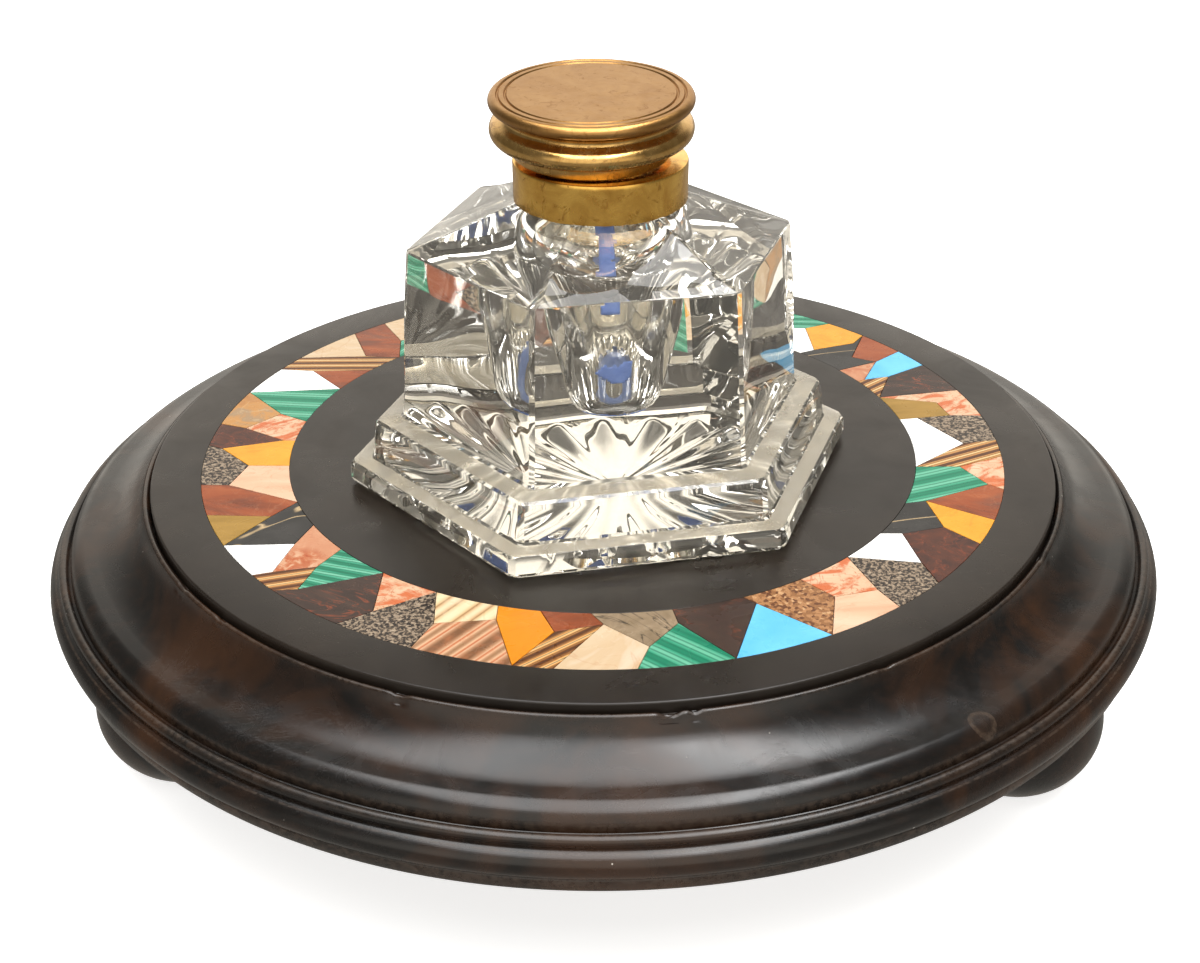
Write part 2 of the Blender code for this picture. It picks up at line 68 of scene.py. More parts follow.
# Heights above the slate.
COLLAR_TOP = COLLAR_BOX[1].z - SLATE_TOP
COLLAR_LOW = COLLAR_BOX[0].z - SLATE_TOP
NECK_TOP = box_mm("inkwell_glass")[1].z - SLATE_TOP
GLASS_BOTTOM = 0.3

# The lid sits a little to the left of the neck, and askew on its worn hinge. Angles are in degrees.
LID_MIDDLE = Vector((-1.5, WELL_Y, SLATE_TOP + 73.0))
LID_TILT = 3.2
GLASS_TURN = 11.06
CRYSTAL_IOR = 1.52


# Building blocks for the node materials.

class Surface:
    """A material's node tree. Each call adds one node and returns its output socket."""

    def __init__(self, name, shift=(0, 0, 0), turn=0.0):
        self.material = bpy.data.materials.new(name)
        self.material.use_nodes = True
        self.tree = self.material.node_tree
        self.shader = self.tree.nodes["Principled BSDF"]
        place = self.tree.nodes.new("ShaderNodeTexCoord")
        to_mm = self.tree.nodes.new("ShaderNodeMapping")
        to_mm.inputs["Scale"].default_value = (1 / MM, 1 / MM, 1 / MM)
        to_mm.inputs["Location"].default_value = shift
        to_mm.inputs["Rotation"].default_value = (0, 0, -math.radians(turn))
        self.tree.links.new(place.outputs["Object"], to_mm.inputs["Vector"])
        self.mm = to_mm.outputs["Vector"]

    def put(self, target, value):
        if isinstance(value, bpy.types.NodeSocket):
            self.tree.links.new(value, target)
        elif isinstance(value, (tuple, list)) and len(value) == 3 and target.type == "RGBA":
            target.default_value = (*value, 1.0)
        else:
            target.default_value = value

    def stretch(self, scale, shift=(0, 0, 0), turn=0.0):
        node = self.tree.nodes.new("ShaderNodeMapping")
        self.put(node.inputs["Vector"], self.mm)
        node.inputs["Scale"].default_value = scale
        node.inputs["Location"].default_value = shift
        node.inputs["Rotation"].default_value = (0, 0, math.radians(turn))
        return node.outputs["Vector"]

    def noise(self, scale, detail=3.0, rough=0.5, warp=0.0, source=None):
        node = self.tree.nodes.new("ShaderNodeTexNoise")
        self.put(node.inputs["Vector"], source or self.mm)
        node.inputs["Scale"].default_value = scale
        node.inputs["Detail"].default_value = detail
        node.inputs["Roughness"].default_value = rough
        node.inputs["Distortion"].default_value = warp
        return node.outputs["Fac"]

    def cells(self, scale, colour=False):
        node = self.tree.nodes.new("ShaderNodeTexVoronoi")
        self.put(node.inputs["Vector"], self.mm)
        node.inputs["Scale"].default_value = scale
        return node.outputs["Color" if colour else "Distance"]

    def wave(self, scale, warp, detail=2.0, rings=False, source=None, warp_scale=1.0):
        node = self.tree.nodes.new("ShaderNodeTexWave")
        node.wave_type = "RINGS" if rings else "BANDS"
        node.rings_direction = "Z"
        node.bands_direction = "Y"
        self.put(node.inputs["Vector"], source or self.mm)
        node.inputs["Scale"].default_value = scale
        node.inputs["Distortion"].default_value = warp
        node.inputs["Detail"].default_value = detail
        node.inputs["Detail Scale"].default_value = warp_scale
        return node.outputs["Fac"]

    def ramp(self, factor, stops, mode="LINEAR"):
        node = self.tree.nodes.new("ShaderNodeValToRGB")
        node.color_ramp.interpolation = mode
        self.put(node.inputs["Fac"], factor)
        marks = node.color_ramp.elements
        while len(marks) < len(stops):
            marks.new(0.5)
        for mark, (where, colour) in zip(marks, stops):
            mark.position = where
            mark.color = (*colour, 1.0) if isinstance(colour, tuple) else (*[colour] * 3, 1.0)
        return node.outputs["Color"]

    def blend(self, factor, first, second):
        node = self.tree.nodes.new("ShaderNodeMix")
        node.data_type = "RGBA"
        self.put(node.inputs["Factor"], factor)
        # The colour sockets of a mix node come after its number and vector sockets.
        self.put(node.inputs[6], first)
        self.put(node.inputs[7], second)
        return node.outputs[2]

    def sum(self, kind, first, second=0.5, clamp=False):
        node = self.tree.nodes.new("ShaderNodeMath")
        node.operation = kind
        node.use_clamp = clamp
        for socket, value in zip(node.inputs, (first, second)):
            self.put(socket, value)
        return node.outputs["Value"]

    def distance(self, point, squash=(1, 1, 1)):
        """How far a place is from a point in the frame, in millimetres, with each axis weighted."""
        reach = self.mm
        for operation, value in (("SUBTRACT", point), ("MULTIPLY", squash)):
            node = self.tree.nodes.new("ShaderNodeVectorMath")
            node.operation = operation
            self.put(node.inputs[0], reach)
            node.inputs[1].default_value = value
            reach = node.outputs["Vector"]
        length = self.tree.nodes.new("ShaderNodeVectorMath")
        length.operation = "LENGTH"
        self.put(length.inputs[0], reach)
        return length.outputs["Value"]

    def bump(self, height, strength, depth, under=None):
        node = self.tree.nodes.new("ShaderNodeBump")
        node.inputs["Strength"].default_value = strength
        node.inputs["Distance"].default_value = depth * MM
        self.put(node.inputs["Height"], height)
        if under:
            self.put(node.inputs["Normal"], under)
        return node.outputs["Normal"]

    def finish(self, **values):
        names = {"colour": "Base Color", "rough": "Roughness", "metal": "Metallic", "normal": "Normal",
                 "ior": "IOR", "clear": "Transmission Weight", "specular": "Specular IOR Level"}
        for key, value in values.items():
            self.put(self.shader.inputs[names[key]], value)
        return self.material


# Materials of the stand.

def ebonised_wood():
    """French-polished black stain over brown wood, rubbed through on its edges and a little scratched."""
    s = Surface("ebonised_wood")
    patches = s.ramp(s.noise(0.030, 4, 0.6, 0.8), [(0.44, 0.0), (0.62, 1.0)])
    grain = s.noise(0.9, 4, 0.65, 0.2, s.stretch((0.07, 1.0, 1.0)))
    stain = s.blend(patches, (0.0040, 0.0032, 0.0028), (0.0240, 0.0100, 0.0042))
    stain = s.blend(s.ramp(grain, [(0.5, 0.0), (0.75, 0.30)]), stain, (0.024, 0.012, 0.007))
    # Worn edges by radius and width: the rim round the slate, the shoulder, the bead and the lower band.
    radius = s.distance((0, 0, 0), (1, 1, 0))
    rubbed = s.noise(0.8, 5, 0.7)
    wear = 0.0
    for edge, width in ((88.7, 0.5), (103.55, 0.2), (105.2, 0.8), (106.6, 0.25)):
        away = s.sum("ABSOLUTE", s.sum("SUBTRACT", radius, edge))
        near = s.sum("SUBTRACT", 1.0, s.sum("DIVIDE", away, width), clamp=True)
        wear = s.sum("ADD", wear, near, clamp=True)
    wear = s.sum("MULTIPLY", wear, s.ramp(rubbed, [(0.42, 0.12), (0.60, 0.55)]))
    colour = s.blend(wear, stain, (0.060, 0.040, 0.027))
    # A plugged hole in the slope at the front right.
    plug = s.distance((61.1, -81.1, 39.4), (0.40, 0.40, 0.25))
    mark = s.ramp(plug, [(0.0, 0.10), (0.55, 0.05), (0.8, 0.45), (1.0, 0.40), (1.25, 0.0)])
    colour = s.blend(s.sum("MULTIPLY", mark, s.ramp(rubbed, [(0.35, 0.3), (0.6, 1.0)])), colour,
                     (0.075, 0.050, 0.034))
    scratch_lines = s.noise(0.5, 2, 0.5, 3.0, s.stretch((0.12, 3.0, 1.0), turn=24))
    scratches = s.ramp(scratch_lines, [(0.495, 0.0), (0.5, 1.0), (0.505, 0.0)])
    scratched = s.sum("MULTIPLY", scratches, s.ramp(s.noise(0.06, 2), [(0.52, 0.0), (0.7, 0.5)]))
    colour = s.blend(scratched, colour, (0.06, 0.05, 0.043))
    dust = s.ramp(s.cells(0.30), [(0.0, 1.0), (0.030, 1.0), (0.05, 0.0)])
    dust = s.sum("MULTIPLY", dust, s.ramp(s.noise(0.2, 2), [(0.60, 0.0), (0.66, 1.0)]))
    colour = s.blend(dust, colour, (0.40, 0.37, 0.33))
    smears = s.noise(0.09, 5, 0.65, 1.2)
    rough = s.ramp(smears, [(0.3, 0.20), (0.55, 0.27), (0.75, 0.36)])
    rough = s.blend(wear, rough, (0.45, 0.45, 0.45))
    turning = s.wave(1.6, 1.5, 2, rings=True)
    normal = s.bump(turning, 0.04, 0.04)
    normal = s.bump(s.noise(2.2, 4, 0.6), 0.07, 0.05, normal)
    normal = s.bump(scratched, 0.25, -0.08, normal)
    return s.finish(colour=colour, rough=rough, normal=normal, ior=1.5, specular=0.5)


def slate_stone():
    """Honed black slate, with pale specks, fine scratches and dusty smears."""
    s = Surface("slate")
    cloud = s.noise(0.05, 5, 0.6, 0.4)
    colour = s.ramp(cloud, [(0.3, (0.0090, 0.0066, 0.0050)), (0.7, (0.0170, 0.0122, 0.0088))])
    specks = s.ramp(s.cells(0.55), [(0.0, 1.0), (0.035, 1.0), (0.06, 0.0)])
    some = s.ramp(s.noise(0.35, 2), [(0.58, 0.0), (0.64, 0.6)])
    colour = s.blend(s.sum("MULTIPLY", specks, some), colour, (0.16, 0.14, 0.12))
    lines = s.ramp(s.noise(0.25, 1, 0.5, 4.0, s.stretch((0.15, 2.4, 1), turn=-35)),
                   [(0.497, 0.0), (0.5, 1.0), (0.503, 0.0)])
    fine = s.sum("MULTIPLY", lines, s.ramp(s.noise(0.05, 2, 0.5, 0.0), [(0.5, 0.0), (0.65, 0.35)]))
    colour = s.blend(fine, colour, (0.10, 0.088, 0.076))
    rough = s.ramp(s.noise(0.07, 5, 0.65, 0.8), [(0.3, 0.22), (0.7, 0.40)])
    normal = s.bump(s.noise(3.0, 4, 0.6), 0.05, 0.04)
    return s.finish(colour=colour, rough=rough, normal=normal, specular=0.32)


def cement():
    s = Surface("cement")
    colour = s.ramp(s.noise(0.9, 5, 0.7), [(0.3, (0.30, 0.24, 0.17)), (0.7, (0.52, 0.46, 0.37))])
    return s.finish(colour=colour, rough=0.9, normal=s.bump(s.noise(3.0, 5, 0.7), 0.4, 0.1))


def veins(s, scale, width, warp=1.5, source=None):
    """Thin wandering lines: 1 on a vein and 0 off it."""
    lines = s.noise(scale, 3, 0.55, warp, source)
    return s.ramp(lines, [(0.5 - width, 0.0), (0.5, 1.0), (0.5 + width, 0.0)])


# Materials of the stones. Each takes its Surface and returns its colour.

def malachite(s):
    centre = s.stretch((1, 1, 1), (7.0, -9.0, 0))
    bands = s.wave(0.11, 3.0, 2.0, rings=True, source=centre, warp_scale=0.25)
    fine = s.wave(0.42, 4.5, 2.5, rings=True, source=centre, warp_scale=0.22)
    colour = s.ramp(bands, [(0.1, (0.006, 0.135, 0.070)), (0.4, (0.018, 0.21, 0.12)),
                            (0.7, (0.055, 0.29, 0.18)), (0.95, (0.12, 0.36, 0.24))])
    return s.blend(s.ramp(fine, [(0.55, 0.0), (0.85, 0.75)]), colour, (0.004, 0.10, 0.055))


def straight_malachite(s):
    bands = s.wave(0.07, 2.2, 2.0, warp_scale=0.14)
    fine = s.wave(0.30, 3.6, 2.5, warp_scale=0.12)
    colour = s.ramp(bands, [(0.1, (0.008, 0.15, 0.080)), (0.5, (0.035, 0.25, 0.145)),
                            (0.95, (0.11, 0.35, 0.23))])
    return s.blend(s.ramp(fine, [(0.5, 0.0), (0.85, 0.7)]), colour, (0.006, 0.11, 0.060))


def granite(s):
    blobs = s.noise(1.5, 3, 0.6, 0.5)
    colour = s.ramp(blobs, [(0.40, (0.018, 0.014, 0.012)), (0.49, (0.050, 0.036, 0.026)),
                            (0.53, (0.185, 0.135, 0.092)), (0.70, (0.31, 0.245, 0.175))])
    return s.blend(s.ramp(s.cells(2.6), [(0.12, 0.85), (0.2, 0.0)]), colour, (0.012, 0.010, 0.009))


def white(s):
    colour = s.ramp(s.noise(0.25, 5, 0.6, 0.5), [(0.3, (0.76, 0.75, 0.72)), (0.7, (0.84, 0.83, 0.81))])
    return s.blend(s.sum("MULTIPLY", veins(s, 0.08, 0.012), 0.2), colour, (0.60, 0.58, 0.56))


def cream(s):
    colour = s.ramp(s.noise(0.16, 5, 0.6, 0.8, s.stretch((0.3, 1, 1))),
                    [(0.3, (0.50, 0.39, 0.26)), (0.55, (0.46, 0.33, 0.20)), (0.75, (0.54, 0.45, 0.34))])
    return s.blend(s.sum("MULTIPLY", veins(s, 0.07, 0.02), 0.35), colour, (0.36, 0.17, 0.075))


def banded_cream(s):
    bands = s.wave(0.06, 3.0, 3.0, warp_scale=0.12)
    colour = s.ramp(bands, [(0.05, (0.60, 0.48, 0.30)), (0.4, (0.50, 0.35, 0.18)), (0.6, (0.26, 0.14, 0.06)),
                            (0.75, (0.44, 0.28, 0.14)), (1.0, (0.58, 0.46, 0.29))])
    return s.blend(s.ramp(s.noise(0.3, 4), [(0.45, 0.0), (0.75, 0.4)]), colour, (0.60, 0.50, 0.36))


def red(s):
    colour = s.ramp(s.noise(0.2, 5, 0.65, 0.8, s.stretch((0.35, 1, 1))),
                    [(0.25, (0.095, 0.024, 0.010)), (0.5, (0.215, 0.047, 0.013)),
                     (0.75, (0.28, 0.075, 0.024))])
    colour = s.blend(s.ramp(s.noise(0.11, 4, 0.6, 1.0, s.stretch((0.25, 1, 1), (8, 3, 0))),
                            [(0.52, 0.0), (0.66, 0.7)]), colour, (0.085, 0.042, 0.030))
    return s.blend(s.sum("MULTIPLY", veins(s, 0.12, 0.008), 0.25), colour, (0.36, 0.17, 0.09))


def coral(s):
    mottle = s.noise(0.42, 5, 0.65, 0.8)
    colour = s.ramp(mottle, [(0.32, (0.27, 0.052, 0.018)), (0.5, (0.35, 0.105, 0.040)),
                             (0.62, (0.46, 0.26, 0.155)), (0.75, (0.56, 0.38, 0.26))])
    return s.blend(s.ramp(s.noise(0.06, 2), [(0.45, 0.0), (0.6, 0.8)]), colour, (0.42, 0.20, 0.11))


def maroon(s):
    colour = s.ramp(s.noise(0.3, 5, 0.65, 1.0), [(0.35, (0.032, 0.013, 0.010)), (0.7, (0.085, 0.024, 0.012))])
    return s.blend(veins(s, 0.10, 0.014, 2.5), colour, (0.15, 0.034, 0.014))


def black(s):
    colour = s.ramp(s.noise(0.2, 3), [(0.3, (0.016, 0.015, 0.014)), (0.7, (0.030, 0.028, 0.026))])
    line = veins(s, 0.024, 0.004, 0.7, s.stretch((0.5, 1, 1)))
    return s.blend(s.sum("MULTIPLY", line, 0.95), colour, (0.42, 0.30, 0.16))


def striped(s):
    bands = s.wave(0.12, 1.2, 2.0, warp_scale=0.12)
    fine = s.wave(0.47, 1.6, 2.0, warp_scale=0.15)
    colour = s.ramp(bands, [(0.05, (0.065, 0.020, 0.006)), (0.3, (0.20, 0.068, 0.015)),
                            (0.5, (0.48, 0.28, 0.095)), (0.62, (0.26, 0.085, 0.018)),
                            (0.8, (0.46, 0.20, 0.050)), (1.0, (0.56, 0.39, 0.18))])
    return s.blend(s.ramp(fine, [(0.55, 0.0), (0.9, 0.7)]), colour, (0.055, 0.022, 0.010))


def olive(s):
    grain = s.noise(0.3, 5, 0.6, 0.4, s.stretch((0.3, 1, 1)))
    return s.ramp(grain, [(0.3, (0.19, 0.105, 0.014)), (0.7, (0.29, 0.165, 0.032))])


def yellow(s):
    colour = s.ramp(s.noise(0.14, 4, 0.6, 0.5), [(0.3, (0.52, 0.215, 0.014)), (0.7, (0.60, 0.28, 0.026))])
    return s.blend(s.sum("MULTIPLY", veins(s, 0.05, 0.010), 0.3), colour, (0.34, 0.12, 0.010))


def amber(s):
    colour = s.ramp(s.noise(0.10, 4, 0.6, 0.5), [(0.3, (0.50, 0.160, 0.006)), (0.7, (0.56, 0.195, 0.010))])
    return s.blend(s.sum("MULTIPLY", veins(s, 0.06, 0.010), 0.3), colour, (0.32, 0.075, 0.004))


def orange(s):
    colour = s.ramp(s.noise(0.16, 5, 0.6, 0.8), [(0.3, (0.30, 0.13, 0.040)), (0.5, (0.38, 0.185, 0.055)),
                                                  (0.62, (0.26, 0.17, 0.095)), (0.8, (0.40, 0.25, 0.12))])
    return s.blend(s.sum("MULTIPLY", veins(s, 0.08, 0.015), 0.4), colour, (0.46, 0.34, 0.20))


def turquoise(s):
    colour = s.ramp(s.noise(0.10, 4, 0.5, 0.4), [(0.3, (0.075, 0.34, 0.60)), (0.7, (0.13, 0.44, 0.68))])
    return s.blend(s.sum("MULTIPLY", veins(s, 0.12, 0.006), 0.25), colour, (0.05, 0.22, 0.34))


def pink(s):
    colour = s.ramp(s.noise(0.13, 5, 0.6, 0.8, s.stretch((0.35, 1, 1))),
                    [(0.25, (0.48, 0.25, 0.15)), (0.5, (0.55, 0.34, 0.22)), (0.75, (0.60, 0.42, 0.30))])
    return s.blend(s.sum("MULTIPLY", veins(s, 0.08, 0.014), 0.3), colour, (0.38, 0.15, 0.07))


def brown(s):
    colour = s.ramp(s.noise(0.22, 5, 0.65, 1.0, s.stretch((0.4, 1, 1))),
                    [(0.3, (0.020, 0.012, 0.010)), (0.65, (0.046, 0.026, 0.019))])
    streaks = veins(s, 0.16, 0.018, 2.2, s.stretch((0.35, 1, 1)))
    streaks = s.sum("MULTIPLY", streaks, s.ramp(s.noise(0.08, 2), [(0.45, 0.0), (0.6, 0.9)]))
    return s.blend(streaks, colour, (0.17, 0.040, 0.016))


def veined(s):
    colour = s.ramp(s.noise(0.12, 4, 0.6, 0.8), [(0.3, (0.46, 0.27, 0.155)), (0.7, (0.55, 0.39, 0.26))])
    broad = s.ramp(s.noise(0.14, 5, 0.6, 2.4, s.stretch((0.55, 1, 1))), [(0.47, 0.0), (0.56, 0.95)])
    colour = s.blend(broad, colour, (0.42, 0.10, 0.030))
    return s.blend(s.sum("MULTIPLY", veins(s, 0.15, 0.02, 2.5), 0.8), colour, (0.36, 0.075, 0.020))


def banded(s):
    bands = s.wave(0.052, 2.6, 3.0, warp_scale=0.10)
    colour = s.ramp(bands, [(0.05, (0.15, 0.070, 0.034)), (0.3, (0.33, 0.17, 0.090)),
                            (0.5, (0.48, 0.29, 0.175)), (0.65, (0.36, 0.10, 0.035)),
                            (0.85, (0.52, 0.32, 0.19)), (1.0, (0.25, 0.13, 0.065))])
    return s.blend(s.ramp(s.noise(0.35, 4), [(0.5, 0.0), (0.75, 0.5)]), colour, (0.40, 0.14, 0.06))


def dendritic(s):
    colour = s.ramp(s.noise(0.22, 5, 0.65, 0.8), [(0.3, (0.15, 0.105, 0.060)), (0.7, (0.26, 0.19, 0.12))])
    return s.blend(veins(s, 0.11, 0.020, 2.4, s.stretch((0.45, 1, 1))), colour, (0.022, 0.016, 0.012))


def granular(s):
    grit = s.cells(1.6, colour=True)
    colour = s.ramp(grit, [(0.0, (0.10, 0.036, 0.014)), (0.3, (0.21, 0.092, 0.034)),
                           (0.55, (0.31, 0.15, 0.062)), (0.8, (0.42, 0.24, 0.115))], "CONSTANT")
    return s.blend(s.ramp(s.cells(3.0), [(0.15, 0.6), (0.35, 0.0)]), colour, (0.05, 0.022, 0.012))


STONE_KINDS = {"malachite": malachite, "straight": straight_malachite, "granite": granite, "white": white,
               "cream": cream, "agate": banded_cream, "red": red, "coral": coral, "maroon": maroon,
               "black": black, "striped": striped, "olive": olive, "yellow": yellow, "amber": amber,
               "orange": orange, "turquoise": turquoise, "pink": pink, "brown": brown, "veined": veined,
               "banded": banded, "dendritic": dendritic, "granular": granular}


def stone_material(name, kind, turn, seed):
    """A polished stone, with its own shift and turn of the pattern."""
    draw = random.Random(seed)
    shift = tuple(draw.uniform(-60, 60) for _ in range(3))
    s = Surface(name, shift, turn)
    colour = STONE_KINDS[kind](s)
    smears = s.noise(0.12, 4, 0.6, 0.6)
    rough = s.ramp(smears, [(0.3, 0.22), (0.75, 0.36)])
    pits = s.ramp(s.cells(1.3), [(0.0, 0.0), (0.10, 1.0)])
    return s.finish(colour=colour, rough=rough, normal=s.bump(pits, 0.10, 0.04), specular=0.2)


# Materials of the inkwell.

def worn_crystal():
    """The ledges of the plates: pressed glass, hazed by handling."""
    s = Surface("worn_crystal")
    haze = s.noise(0.22, 5, 0.65, 0.8)
    colour = s.ramp(haze, [(0.3, (0.70, 0.61, 0.45)), (0.7, (0.88, 0.81, 0.66))])
    rough = s.ramp(haze, [(0.3, 0.30), (0.7, 0.14)])
    return s.finish(colour=colour, rough=rough, clear=0.72, ior=CRYSTAL_IOR)


def crystal():
    """Nearly clear glass with a faint ripple. A small cream diffuse share stands for its many fine marks."""
    s = Surface("crystal")
    ripple = s.bump(s.noise(0.10, 1, 0.3), 0.06, 0.6)
    rough = s.ramp(s.noise(0.4, 4), [(0.5, 0.0), (0.8, 0.03)])
    return s.finish(colour=(0.98, 0.95, 0.865), rough=rough, clear=0.972, ior=CRYSTAL_IOR, normal=ripple)


def brass(name, clean, dull, stain, rough_low, rough_high, rings):
    """Worn brass: a clean metal, a duller cast in clouds, dark stains, and fine turning lines."""
    s = Surface(name)
    clouds = s.ramp(s.noise(0.16, 5, 0.65, 0.9), [(0.35, 0.0), (0.7, 1.0)])
    colour = s.blend(clouds, clean, dull)
    stains = s.ramp(s.noise(0.45, 6, 0.7, 1.2), [(0.56, 0.0), (0.72, 0.85)])
    colour = s.blend(stains, colour, stain)
    rough = s.ramp(s.noise(0.3, 5, 0.7), [(0.3, rough_low), (0.75, rough_high)])
    rough = s.blend(stains, rough, (0.5, 0.5, 0.5))
    source = s.stretch((1, 1, 1), (-LID_MIDDLE.x, -LID_MIDDLE.y, 0))
    lines = s.wave(rings, 1.2, 2, rings=True, source=source)
    normal = s.bump(lines, 0.06, 0.03)
    dents = s.noise(0.35, 3, 0.5)
    normal = s.bump(dents, 0.18, 0.25, normal)
    return s.finish(colour=colour, rough=rough, metal=1.0, normal=normal)


def dried_ink():
    s = Surface("dried_ink")
    colour = s.ramp(s.noise(0.5, 5, 0.7), [(0.3, (0.10, 0.20, 0.62)), (0.7, (0.20, 0.33, 0.80))])
    return s.finish(colour=colour, rough=0.5)


def floor_material():
    """A white light table: it glows a little, so that no hard shadow is left on it."""
    s = Surface("floor")
    colour = s.ramp(s.noise(0.01, 2), [(0.3, (0.84, 0.84, 0.84)), (0.7, (0.86, 0.86, 0.86))])
    s.put(s.shader.inputs["Emission Color"], colour)
    s.shader.inputs["Emission Strength"].default_value = 0.85
    return s.finish(colour=colour, rough=0.6, specular=0.2)


# Shapes.

def add_object(name, data):
    made = bpy.data.objects.new(name, data)
    bpy.context.scene.collection.objects.link(made)
    return made


def finished_mesh(name, shape):
    mesh = bpy.data.meshes.new(name)
    shape.to_mesh(mesh)
    shape.free()
    return mesh


def add_piece(name, mesh, material, body, replaced, where=(0, 0, 0), tilt=0.0, sharp=35):
    """Link a piece at a place in millimetres, shade it, and tell the frame what it is. Edges sharper
    than the last angle stay sharp."""
    piece = add_object(name, mesh)
    piece.location = Vector(where) * MM
    piece.rotation_euler.x = math.radians(tilt)
    mesh.materials.append(material)
    mesh.shade_smooth()
    mesh.set_sharp_from_angle(angle=math.radians(sharp))
    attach(piece, body)
    if replaced:
        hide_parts(*replaced)
    return piece


def mesh_from_rings(name, rings, tips=None):
    """A closed skin over rings of equal counts, in millimetres. The ends close on two points, or, where
    none are given, on each other."""
    shape = bmesh.new()
    loops = [[shape.verts.new(Vector(p) * MM) for p in ring] for ring in rings]
    count = len(loops[0])
    pairs = list(zip(loops, loops[1:]))
    if tips is None:
        pairs.append((loops[-1], loops[0]))
    for lower, upper in pairs:
        for i in range(count):
            j = (i + 1) % count
            shape.faces.new((lower[i], lower[j], upper[j], upper[i]))
    for loop, tip in zip((loops[0], loops[-1]), tips or ()):
        point = shape.verts.new(Vector(tip) * MM)
        for i in range(count):
            shape.faces.new((loop[i], loop[(i + 1) % count], point))
    bmesh.ops.recalc_face_normals(shape, faces=shape.faces)
    return finished_mesh(name, shape)


def turned_mesh(name, profile, steps, change=None):
    """A turned solid from (radius, height) pairs. A profile that starts and ends on the axis is solid,
    and any other is a closed ring. change(angle, radius, height) may move a point a little."""
    solid = profile[0][0] == 0
    inner = profile[1:-1] if solid else profile
    rings = []
    for radius, height in inner:
        ring = []
        for i in range(steps):
            angle = 2 * math.pi * i / steps
            r, z = change(angle, radius, height) if change else (radius, height)
            ring.append((r * math.cos(angle), r * math.sin(angle), z))
        rings.append(ring)
    tips = ((0, 0, profile[0][1]), (0, 0, profile[-1][1])) if solid else None
    return mesh_from_rings(name, rings, tips)


def arc(centre, radius, first, last, count):
    """Points on an elliptical arc in the profile plane, from one angle to another in degrees."""
    step = (last - first) / (count - 1)
    turns = [math.radians(first + step * i) for i in range(count)]
    return [(centre[0] + radius[0] * math.cos(t), centre[1] + radius[1] * math.sin(t)) for t in turns]


# The stand.

# Chips in the wooden rim: degrees round the stand, half their width in degrees, and depth.
CHIPS = [(248.5, 1.1, 0.5), (276.6, 1.3, 0.8), (279.2, 0.7, 0.5), (223.0, 1.0, 0.35),
         (214.0, 1.2, 0.4), (301.0, 0.8, 0.3), (332.0, 1.0, 0.35)]


def chipped(angle, radius, height):
    """Small chips knocked out of the wooden rim round the slate."""
    if not 87.9 < radius < 89.6:
        return radius, height
    degrees = math.degrees(angle) % 360
    drop = 0.0
    for middle, half, depth in CHIPS:
        near = 1 - abs(degrees - middle) / half
        if near > 0:
            ragged = noise.noise(Vector((degrees * 3, radius * 2, 0)))
            drop = max(drop, depth * min(1, near * 2) * (0.75 + 0.5 * ragged))
    return radius, height - drop


def make_stand(wood):
    """A solid turning: the rebate for the slate, then the rim and the mouldings down to the underside."""
    wall = SLATE_RADIUS + 0.25
    rebate = SLATE_LOW.z - 0.3
    low = STAND_BOTTOM
    rim = arc((88.5, 46.15), (0.55, 0.55), 175, 20, 8)
    hollow = arc((101.15, 48.6), (12.4, 9.0), 194, 257, 24)
    shoulder = arc((100.0, 36.1), (3.6, 3.6), 82, 8, 16)
    groove = [(103.55, 36.3), (103.7, 35.6), (103.9, 35.5)]
    bead = arc((105.0, 35.2), (1.0, 1.0), 165, -35, 16)
    torus = arc((105.2, 31.5), (2.8, 2.8), 79, -62, 26)
    band = [(106.35, 28.9), (106.5, 28.75), (106.6, 28.45), (106.4, 26.9), (105.9, 26.2), (105.0, low + 0.4)]
    profile = [(0, rebate), (wall, rebate), (wall, 46.0)] + rim + hollow + shoulder + groove + bead
    profile += torus + band + [(100.0, low), (0, low)]
    mesh = turned_mesh("stand", profile, 720, chipped)
    add_piece("turned_stand", mesh, wood, "stand", ["stand_moulding"])


def make_feet(wood):
    """Three buns, each an ellipse cut off where it meets the table."""
    centre, depth = 14.0, 15.2
    ground = -math.degrees(math.asin(centre / depth))
    for name in ("foot_front_left", "foot_front_right", "foot_rear"):
        low, high = box_mm(name)
        middle = (low + high) / 2
        bun = arc((0, centre), ((high.x - low.x) / 2, depth), 47, ground, 26)
        profile = [(0, STAND_BOTTOM - 0.3)] + bun + [(0, 0)]
        mesh = turned_mesh(name + "_bun", profile, 96)
        add_piece(name + "_bun", mesh, wood, "stand", [name], (middle.x, middle.y, 0))


def make_slate(slate):
    """The slab, with the channel that holds the stones and a softened outer edge."""
    floor = SLATE_TOP - 3.1
    edge = arc((SLATE_RADIUS - 0.4, SLATE_TOP - 0.4), (0.4, 0.4), 90, 0, 6)
    profile = [(0, SLATE_TOP), (INLAY_INNER - 0.05, SLATE_TOP), (INLAY_INNER, SLATE_TOP - 0.05),
               (INLAY_INNER, floor), (INLAY_OUTER, floor), (INLAY_OUTER, SLATE_TOP - 0.05),
               (INLAY_OUTER + 0.05, SLATE_TOP)] + edge + [(SLATE_RADIUS, SLATE_LOW.z), (0, SLATE_LOW.z)]
    mesh = turned_mesh("slate", profile, 360)
    add_piece("inlaid_slate", mesh, slate, "stand", ["slate_slab"])


